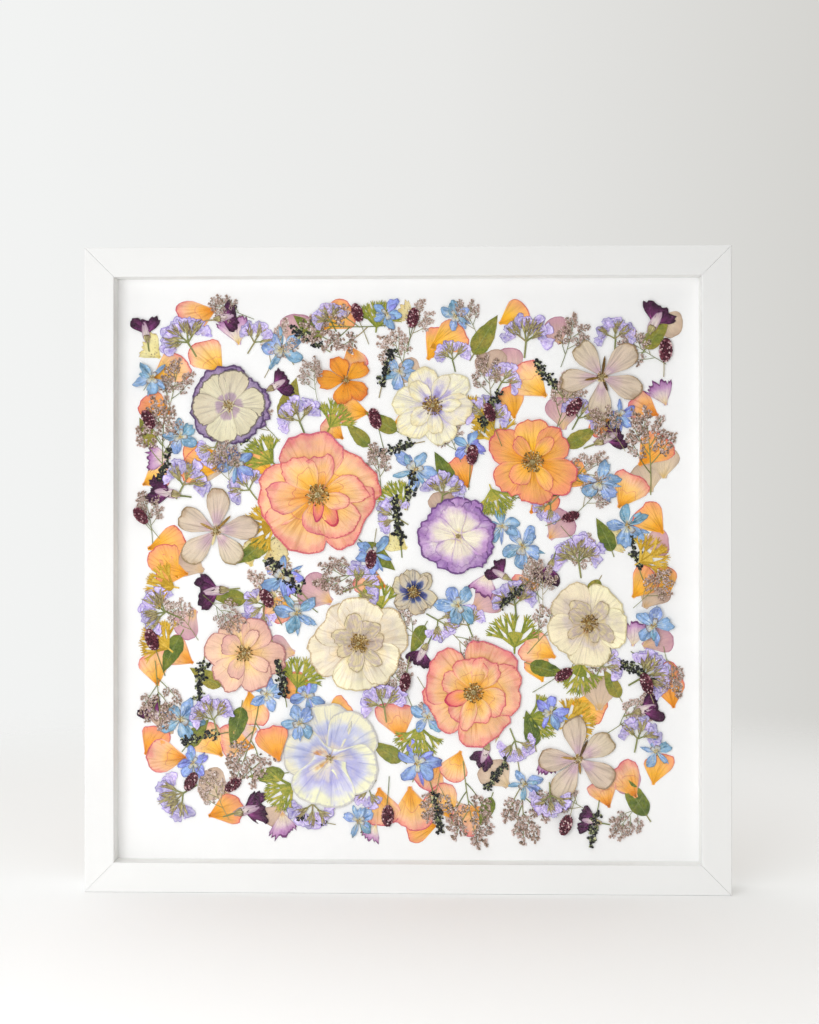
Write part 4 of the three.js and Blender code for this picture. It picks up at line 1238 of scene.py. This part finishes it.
def headedTwig(sheaf, at, turn, reach, bend, chance):
    # A bent twig with a head at its end and lesser ones on short stalks beside it.
    points = curvedStem(sheaf, at, turn, reach, bend, (0.46, 0.34), chance, 0, 5)
    last = points[-1] - points[-2]
    turned = math.degrees(math.atan2(-last.x, last.y))
    stamp(sheaf, chance.choice(lavenderHeads), placeAt(*points[-1].xy, 0.3, turned))
    for step, side in ((-2, 1), (-3, -1)):
        lean = turned + side * chance.uniform(28, 50)
        place = placeAt(*points[step].xy, 0.3, lean, size=chance.uniform(0.6, 0.9))
        stamp(sheaf, chance.choice(lavenderHeads), place)


def spraySheaf(chance, bend=None):
    # A stem with side twigs, and heads on each.
    bend = chance.uniform(-9, 9) if bend is None else bend
    length, twigs = spray["length"], spray["twigs"]
    sheaf = newSheaf()
    headedTwig(sheaf, (0, 0), 0, length, bend, chance)
    for i in range(twigs):
        along = 0.3 + 0.5 * i / (twigs - 1)
        side = 1 if i % 2 else -1
        reach = length * (0.48 - 0.34 * along) * chance.uniform(0.85, 1.1)
        foot = polar(-90, bend * along ** 2, 0, length * along)
        headedTwig(sheaf, foot, -side * (46 - 8 * along), reach, -side * chance.uniform(1, 4), chance)
    return sheaf


sprayPlaces = [
    (-14, 191, 95, 5), (190, 58, -2, -5), (-116, -104, 172, 8), (44, -150, 184, -5), (86, -146, 190, 5),
    (-192, 66, 2, 3),
]
for i, (x, y, turn, bend) in enumerate(sprayPlaces):
    sheaf = spraySheaf(random.Random(80 + i), bend)
    replaceNode(f"sea_lavender_{i + 1}", sheaf, spray["palette"], (x, y), turn)

scatter("sea_lavender_sprays_upper", spray["palette"], spraySheaf, [
    (120, 158, -22, 0.62, free), (66, 126, 4, 0.62, free), (-138, 60, 8, 0.6, over),
    (-20, 58, 4, 0.6, free), (-120, 196, 70, 0.55, free), (-70, 132, 14, 0.5, over),
    (170, 92, 30, 0.6, over), (130, 42, -50, 0.6, free), (-190, 118, -20, 0.7, free),
    (56, 180, 20, 0.5, free), (202, 160, 60, 0.6, free), (-112, 150, -30, 0.7, under),
    (4, 146, 30, 0.7, under), (116, 108, -20, 0.7, under), (114, 64, -70, 0.7, under),
    (70, 46, -60, 0.8, under), (-100, 100, 40, 0.7, under), (-200, 20, 2, 0.6, free),
    (42, 84, 20, 0.6, under), (120, 34, -140, 0.6, under), (-2, 172, -30, 0.6, under),
], seed=90, layer=0.8)
scatter("sea_lavender_sprays_lower", spray["palette"], spraySheaf, [
    (-22, -4, 88, 0.75, free), (118, -84, -60, 0.7, under), (106, -34, 0, 0.6, over),
    (176, -30, -50, 0.6, over), (26, -158, 170, 0.6, free), (-198, -72, 186, 0.8, free),
    (184, -176, 150, 0.6, free), (-160, -20, -130, 0.6, over), (8, -84, -150, 0.6, under),
    (200, -60, 190, 0.6, free), (-140, -196, 30, 0.6, under), (-70, -34, 50, 0.9, under),
    (30, -44, -140, 0.7, under), (94, -66, -40, 0.8, under), (4, -108, 20, 0.7, under),
    (156, -128, -60, 0.7, under), (104, -30, 10, 0.6, under), (14, -60, 40, 0.6, under),
    (-164, -56, 30, 0.6, under), (144, -190, 60, 0.55, free),
], seed=91, layer=0.8)

print("stage: leaves")

leaf = {"length": 36, "width": 16, "rows": 18, "columns": 8, "thick": 0.2, "palette": ["leaf", "stem"]}


def leafSheaf(chance):
    # A blade that is drawn from a grid along its midrib, and its stalk.
    length, half = leaf["length"], leaf["width"] / 2
    rows = leaf["rows"]
    edge = interpolate_bezier(
        (0, 0), (half * 1.7, length * 0.14), (half * 0.9, length * 0.62), (0, length), rows + 1,
    )
    seed = chance.random() * 90
    bend = chance.uniform(-4, 4)
    blade = newSheaf()
    bmesh.ops.create_grid(blade, x_segments=leaf["columns"], y_segments=rows, size=0.5)
    layer = blade.loops.layers.uv["petal"]
    for face in blade.faces:
        for loop in face.loops:
            loop[layer].uv = (loop.vert.co.x + 0.5, loop.vert.co.y + 0.5)
    for vert in blade.verts:
        across, along = vert.co.x * 2, vert.co.y + 0.5
        rim = edge[round(along * rows)]
        saw = 1 + 0.12 * noise.noise(Vector((along * 9, seed, across))) * abs(across)
        x = rim.x * across * saw + bend * (rim.y / length) ** 2
        ripple = 0.35 * noise.noise(Vector((x / 5, rim.y / 6, seed)))
        vert.co = (x, rim.y, 0.22 * abs(across) + ripple)
    bmesh.ops.remove_doubles(blade, verts=blade.verts, dist=0.001)
    thicken(blade, leaf["thick"])
    mark(blade, blade.verts, chance.random(), 0)
    curvedStem(blade, (0, -length * 0.16), 0, length * 0.2, 0, (0.6, 0.45), chance, 1, 2)
    return blade


leafPlaces = [(52, 168, -32), (-98, 116, -22), (187, -192, 33)]
for i, (x, y, turn) in enumerate(leafPlaces):
    replaceNode(f"leaf_{i + 1}", leafSheaf(random.Random(100 + i)), leaf["palette"], (x, y), turn)

scatter("leaves_small", leaf["palette"], leafSheaf, [
    (186, 172, -38, 0.85, free), (-126, -24, 82, 0.8, free), (100, -138, 12, 0.8, free),
    (-30, 96, 40, 0.7, under), (-8, 108, 60, 0.8, under), (-146, -92, 60, 0.8, under),
    (150, -8, 150, 0.7, under), (14, -44, 150, 0.7, under), (-96, -160, 100, 0.8, under),
    (-200, 96, 20, 0.7, under), (178, -66, -120, 0.7, under), (-108, 22, 120, 0.9, under),
    (-34, 20, -130, 0.9, under), (124, 96, -60, 0.8, under), (-66, 182, 60, 0.8, under),
    (-130, -108, 170, 0.9, under), (96, -74, -110, 0.8, under), (-4, -150, 60, 0.8, under),
    (160, 14, 20, 0.8, under), (34, 66, 20, 0.8, under), (-178, -52, 150, 0.9, under),
    (120, 60, 70, 0.7, under), (-174, -140, -40, 0.8, under), (66, -178, 160, 0.7, under),
    (166, -100, 30, 0.7, under),
], seed=110, layer=0.7)

print("stage: two-lipped blooms")

snapdragon = {
    "length": 26, "palette": ["plum", "plumTube", "bract", "stem"],
    "tube": {"length": 21, "width": 7.4, "foot": 0.5, "crumple": 0.8, "ripple": 0.3, "columns": 16,
             "belly": 0.3},
    "lobe": {"length": 18, "width": 11.5, "foot": 0.4, "belly": 0.7, "ragged": 0.08, "teeth": 7,
             "wavy": 0.14, "crumple": 1.6, "ripple": 0.5, "ripples": 4},
    "lobeTurns": (-42, 38, -14, 12), "sepalTurns": (-20, -4, 14),
}


def snapdragonSheaf(chance):
    # Dark lobes over a pale tube, with a green calyx and a bit of stalk.
    length = snapdragon["length"]
    sheaf = newSheaf()
    mouth = polar(0, length * 0.36)
    for step, turn in enumerate(snapdragon["lobeTurns"]):
        lobe = {**snapdragon["lobe"], "bend": chance.uniform(-3, 3)}
        middle = abs(turn) < 20
        lobe["length"] *= chance.uniform(0.72, 0.85) if middle else chance.uniform(0.92, 1.1)
        place = placeAt(*mouth, 0.1 + 0.15 * step, turn + chance.uniform(-10, 10))
        addOn(sheaf, petalSheet(lobe, chance, 0), place)
    addOn(sheaf, petalSheet(snapdragon["tube"], chance, 1), placeAt(lift=0.9))
    sepal = {"length": length * 0.3, "width": length * 0.13, "foot": 0.5, "columns": 8, "rows": 4}
    for turn in snapdragon["sepalTurns"]:
        addOn(sheaf, petalSheet(sepal, chance, 2), placeAt(lift=1.3, turn=turn))
    foot = (0, -length * 0.34)
    curvedStem(sheaf, foot, 0, length * 0.36, chance.uniform(-1, 1), (0.6, 0.8), chance, 3, 2)
    return sheaf


snapdragonPlaces = [(146, 98, -66), (-136, -192, -74)]
for i, (x, y, turn) in enumerate(snapdragonPlaces):
    sheaf = snapdragonSheaf(random.Random(120 + i))
    replaceNode(f"snapdragon_{i + 1}", sheaf, snapdragon["palette"], (x, y), turn)

scatter("snapdragon_blooms_small", snapdragon["palette"], snapdragonSheaf, [
    (188, 184, -30, 1.0, free), (-178, 58, 80, 1.0, free), (-140, -16, 96, 1.0, free),
    (176, -112, -70, 0.9, free), (16, -58, 150, 0.8, free), (-152, 196, -80, 0.8, free),
    (64, -136, 160, 0.8, under), (-190, -118, 60, 0.8, under), (114, 8, 160, 0.8, free),
    (-110, 140, -60, 0.8, under), (80, -8, 60, 0.75, under), (152, -198, 80, 0.75, free),
    (-204, 178, 10, 0.8, free),
], seed=130, layer=0.9)

print("stage: burnet heads")

burnet = {
    "length": 16, "width": 8.6, "lift": 1.3, "stem": 26, "florets": 150, "palette": ["burnet", "stem"],
}
goldenAngle = math.radians(137.5)


def burnetSheaf(chance, stem=None):
    # A tight oval head, beaded all over with florets, on a thin stem.
    stem = chance.uniform(9, 24) if stem is None else stem
    sheaf = newSheaf()
    curvedStem(sheaf, (0, 0), 0, stem + 2, chance.uniform(-1.5, 1.5), (0.36, 0.3), chance, 1, 5)
    halfLength, halfWidth = burnet["length"] / 2, burnet["width"] / 2
    middle = stem + burnet["length"] * 0.45
    lift = burnet["lift"]
    addBead(sheaf, (0, middle, lift), (halfWidth * 0.92, halfLength * 0.94, 1.2), 0.2, 0, rounds=3)
    count = burnet["florets"]
    for i in range(count):
        along = 1 - 2 * (i + 0.5) / count
        girth = math.sqrt(1 - along ** 2)
        turn = i * goldenAngle
        side, height = math.cos(turn) * girth, math.sin(turn) * girth
        if height > -0.25:
            spot = (side * halfWidth, middle + along * halfLength, lift + height * lift)
            size = chance.uniform(0.5, 0.9)
            addBead(sheaf, spot, (size, size * 1.2, size * 0.8), chance.random(), 0, chance.uniform(0, 90))
    return sheaf


burnetHead = burnetSheaf(random.Random(140), burnet["stem"])
replaceNode("burnet_head", burnetHead, burnet["palette"], (-16, 86), 16)

scatter("burnet_heads_small", burnet["palette"], burnetSheaf, [
    (0, 170, -10, 0.95, free), (200, 150, -4, 1.1, free), (48, 62, -6, 0.95, free),
    (118, 112, -40, 1.0, over), (-188, 92, 30, 0.95, over), (2, -68, 170, 0.9, over),
    (192, -104, 20, 1.0, over), (-14, -162, 178, 1.0, free), (-190, -84, 20, 1.05, free),
    (132, -176, 160, 1.0, over), (-160, -150, 150, 0.95, free), (108, 34, -70, 0.85, free),
    (-30, 176, 20, 0.9, free), (-194, 24, 40, 0.9, over), (98, -96, -60, 0.9, free),
    (-98, -44, 30, 0.95, free), (-24, 32, 170, 0.9, free), (-116, -152, 130, 0.9, free),
    (74, 96, 20, 0.9, over),
], seed=150, layer=1.25)

print("stage: dark spikes")

darkSpike = {
    "length": 44, "steps": 11, "bareSteps": 3, "missing": 0.25, "cases": 6, "knot": 2.6,
    "palette": ["darkCase", "stem"],
}


def spikeSheaf(chance):
    # A crooked spike with knots of dark seed cases along it, the lower ones on twigs.
    length, steps = darkSpike["length"], darkSpike["steps"]
    sheaf = newSheaf()
    bend = chance.uniform(-4, 4)
    points = curvedStem(sheaf, (0, 0), 0, length, bend, (0.55, 0.35), chance, 1, steps)
    for i, point in enumerate(points[darkSpike["bareSteps"]:]):
        for side in (-1, 0, 1):
            if side and chance.random() < darkSpike["missing"]:
                continue
            turn = -side * chance.uniform(28, 66)
            reach = abs(side) * chance.uniform(2.2, 6.4) * (1 - 0.06 * i)
            knot = polar(turn, reach, *point.xy)
            if reach > 0:
                addRod(sheaf, (*point.xy, 0.5), (*knot, 0.6), (0.3, 0.25), (0.3, 0.3), 1, 4)
            for _ in range(darkSpike["cases"]):
                spot = polar(chance.uniform(0, 360), chance.uniform(0, darkSpike["knot"]), *knot)
                size = chance.uniform(0.75, 1.4)
                bead = (size, size * chance.uniform(1, 1.6), size * 0.8)
                tone = chance.random() ** 1.6
                lift = chance.uniform(0.5, 1.3)
                addBead(sheaf, (*spot, lift), bead, tone, 0, turn + chance.uniform(-50, 50))
    return sheaf


replaceNode("dark_spike", spikeSheaf(random.Random(160)), darkSpike["palette"], (-4, 9), 4)

scatter("dark_spikes_small", darkSpike["palette"], spikeSheaf, [
    (-22, 134, -12, 0.85, free), (18, -166, 196, 0.85, free), (150, -180, 170, 0.8, free),
    (-94, -108, 8, 0.8, over), (56, 104, -20, 0.8, over), (-198, 60, -20, 0.8, under),
    (96, -8, 130, 0.7, over), (-116, 96, 60, 0.9, under), (-158, -62, 170, 0.9, under),
    (-56, -200, 80, 0.7, free), (184, -8, 20, 0.8, under), (14, 100, 100, 0.8, under),
    (-76, -26, 40, 1.0, under), (-140, -128, 100, 0.8, free), (160, -68, -120, 0.8, under),
    (122, 134, 40, 0.8, under), (0, 46, -10, 0.8, under), (82, -140, 150, 0.8, free),
    (-60, 170, 60, 0.8, under),
], seed=170, layer=1.1)

print("stage: ferny tufts")

fern = {
    "length": 30, "leaflets": 5, "smallLeaflets": 6, "spread": 110, "forks": 2, "flat": 0.4,
    "web": {"length": 11, "width": 13, "foot": 0.3, "belly": 0.8, "columns": 12, "rows": 4,
            "crumple": 0.5},
    "palette": ["fernGreen"], "goldenPalette": ["fernGold"],
}


def forkOut(sheaf, at, turn, reach, width, forks, chance):
    # A leaflet that splits in three as often as forks says.
    tip = polar(turn, reach, *at)
    end = width * 0.8 if forks else 0.2
    tone = chance.random()
    addRod(sheaf, (*at, 0.9), (*tip, 0.9), (width, end), (tone * 0.6, tone), 0, 4)
    if forks:
        for side in (-1, 0, 1):
            lean = turn + side * chance.uniform(16, 30)
            forkOut(sheaf, tip, lean, reach * chance.uniform(0.55, 0.8), width * 0.86, forks - 1, chance)


def fernSheaf(chance, leaflets=fern["smallLeaflets"]):
    # Flat antler-like leaflets that fan out from one web, each fork ending in a point.
    sheaf = newSheaf()
    curvedStem(sheaf, (0, -fern["length"] * 0.2), 0, fern["length"] * 0.24, 0, (0.7, 0.9), chance, 0, 2)
    addOn(sheaf, petalSheet(fern["web"], chance), placeAt(lift=1.2))
    for i in range(leaflets):
        turn = fern["spread"] * (i / (leaflets - 1) - 0.5) + chance.uniform(-6, 6)
        reach = fern["length"] * 0.42 * (1 - 0.2 * abs(turn) / fern["spread"])
        forkOut(sheaf, Vector((0, 0)), turn, reach, 1.35, fern["forks"], chance)
    bmesh.ops.scale(sheaf, vec=(1, 1, fern["flat"]), verts=sheaf.verts)
    return sheaf


fernTuft = fernSheaf(random.Random(180), fern["leaflets"])
replaceNode("fern_tuft", fernTuft, fern["palette"], (84, -60), 0)

scatter("ferny_tufts_green", fern["palette"], fernSheaf, [
    (-86, -92, -10, 0.9, free), (-60, 112, -30, 0.8, under), (66, 62, 200, 0.8, free),
    (96, -116, -90, 0.9, under), (-24, 190, -6, 0.8, free), (10, -124, 170, 0.9, under),
    (-4, 50, 40, 0.8, under), (-106, 84, 50, 0.9, under), (-20, -30, 20, 0.8, under),
    (136, -74, 170, 0.9, under), (-90, -170, 120, 0.9, under),
], seed=190, layer=0.9)
scatter("ferny_tufts_golden", fern["goldenPalette"], fernSheaf, [
    (182, 6, -60, 0.85, free), (-188, -62, 50, 0.9, under), (70, 100, 20, 0.9, under),
    (-184, -14, 80, 0.85, free), (124, -122, -60, 0.9, under), (-104, 34, 100, 0.9, under),
    (48, 116, -60, 0.8, under),
], seed=191, layer=0.85)

print("stage: loose petals")

loosePetals = {
    "orange": {"length": 32, "width": 29, "foot": 0.1, "belly": 0.68, "columns": 24, "rows": 6,
               "ragged": 0.03, "crumple": 0.3, "wavy": 0.07, "cup": 0.08, "ripple": 0.06},
    "fringed": {"length": 24, "width": 26, "foot": 0.12, "belly": 0.78, "columns": 40, "rows": 5,
                "ragged": 0.16, "teeth": 16, "ripple": 0.3, "ripples": 6, "wavy": 0.06},
    "round": {"length": 27, "width": 28, "foot": 0.18, "belly": 0.6, "columns": 24, "rows": 7,
              "crumple": 0.25, "cup": 0.06, "ripple": 0.06},
    "cream": {"length": 22, "width": 27, "foot": 0.12, "belly": 0.8, "columns": 40, "rows": 5,
              "ragged": 0.12, "teeth": 12, "ripple": 0.3, "ripples": 7, "wavy": 0.08, "crumple": 0.8},
}


def petalBuilder(kind, looks=1):
    # Builds petals of one kind in the first few looks of their palette.
    form = loosePetals[kind]

    def build(chance):
        shape = {**form, "notch": chance.choice((0, 0, 0.08)), "bend": chance.uniform(-4, 4)}
        return petalSheet(shape, chance, chance.randrange(looks))

    return build


scatter("loose_petals_orange", ["apricot", "orange"], petalBuilder("orange", 2), [
    (-200, 150, -60, 0.95, free), (16, 164, -32, 0.95, under), (-204, 16, -80, 0.95, under),
    (48, 64, 24, 0.8, under), (176, -22, -40, 0.8, free), (-4, -134, 12, 1.0, under),
    (2, -170, 186, 1.1, free), (-50, 102, 50, 0.7, under), (-196, -92, 10, 0.9, free),
    (192, -168, -10, 0.8, free), (-150, 204, 110, 0.9, under), (106, -88, 20, 0.7, under),
    (128, -104, -100, 0.9, under), (-206, -146, -30, 0.8, free), (-104, 74, 60, 0.8, under),
    (190, -92, -60, 0.8, under), (-64, -116, -60, 0.7, under), (-120, -140, 80, 0.9, free),
    (72, 192, -60, 0.8, free), (-186, 122, 60, 0.8, free), (-66, 188, -50, 0.9, under),
    (84, 118, 10, 0.8, under), (-124, -96, 190, 0.9, under), (26, -148, 150, 0.9, under),
    (-92, -18, 150, 0.8, under), (150, 128, 190, 0.8, under), (-168, -74, 60, 0.8, under),
    (42, -142, 160, 0.8, under), (-208, 66, -60, 0.75, free), (158, -186, 20, 0.75, free),
    (-46, 176, 200, 0.7, under), (104, -12, 100, 0.7, under), (-16, -14, 70, 0.8, under),
    (204, -20, 10, 0.7, free), (-100, -150, 20, 0.9, over), (144, 66, 60, 0.8, under),
    (-150, 92, 100, 0.8, under), (24, -200, 100, 0.8, under), (-72, -96, 70, 0.8, under),
    (196, 120, 60, 0.8, under), (-12, 112, -70, 0.8, under), (62, -186, 120, 0.9, free),
    (-172, -4, 80, 0.85, free), (208, -108, 10, 0.8, free), (-156, -194, -70, 0.9, free),
    (200, 28, 40, 0.9, free), (118, -52, -60, 0.85, under), (-30, 122, 80, 0.8, free),
    (96, 44, -50, 0.8, free), (109, 135, 50, 1.05, free), (-147, 78, 80, 0.95, free),
    (116, -69, 60, 0.95, free), (37, -196, 30, 0.95, free), (-145, 154, 40, 0.95, under),
    (-145, -147, 40, 1.0, free), (-180, -7, 35, 0.95, free), (179, -178, 30, 0.95, free),
    (165, 48, -30, 1.0, free), (181, 81, -40, 1.0, free), (-173, -148, 90, 0.95, free),
    (-22, -171, 190, 0.95, free), (18, 173, -60, 0.95, free),
], seed=200, layer=0.25)
scatter("loose_petals_fringed", ["fringedPink"], petalBuilder("fringed"), [
    (-132, 176, 10, 0.95, free), (202, 128, 20, 0.85, free), (-20, -30, 60, 0.7, under),
    (64, -2, 160, 0.8, free), (-98, -190, 190, 0.8, free), (176, -60, -10, 0.8, under),
    (-186, 88, 90, 0.8, free), (-24, -200, 150, 0.6, free), (110, -140, -170, 0.8, under),
], seed=210, layer=0.4)
scatter("loose_petals_cream", ["freckledCream"], petalBuilder("cream"), [
    (-122, 2, 20, 0.9, under), (-112, 8, -60, 0.9, under), (-110, -8, 170, 0.85, under),
    (-194, 166, 50, 0.8, under), (150, 20, -70, 0.9, under), (74, -120, 130, 0.7, under),
    (6, 196, 60, 0.7, under), (-100, -72, 60, 0.9, under), (0, 16, 60, 0.8, under),
], seed=215, layer=0.12)
scatter("loose_petals_beige", ["beigeRound", "pinkRound"], petalBuilder("round", 2), [
    (-160, 66, -10, 0.95, under), (86, 148, 30, 1.0, under), (190, 60, 10, 0.9, under),
    (-166, -32, 140, 0.9, free), (-140, -178, 60, 1.0, under), (184, -60, -60, 0.9, under),
    (-98, -184, 150, 0.8, under), (54, -30, -60, 0.8, under), (120, 176, 20, 0.8, under),
    (-186, -130, 10, 0.9, under), (184, 20, -80, 0.8, under), (36, -180, 200, 0.8, under),
    (-88, -66, 80, 0.9, under), (128, 128, 20, 0.8, under), (164, -156, -140, 0.8, under),
    (-160, -2, 60, 0.9, free), (30, 40, 10, 0.8, under), (12, 150, 60, 0.8, under),
    (196, 198, -120, 0.8, free), (79, -170, 40, 0.95, free), (122, 109, 0, 0.95, free),
    (200, 71, 0, 0.95, free), (71, 148, 20, 0.95, free), (150, -110, 0, 1.0, free),
    (-93, 176, -20, 0.95, free), (185, -30, -30, 0.95, free), (-118, -125, 110, 0.95, free),
    (111, 24, -40, 0.95, free), (-59, -26, 60, 1.1, under), (51, -31, -58, 0.95, free),
], seed=220, layer=0)
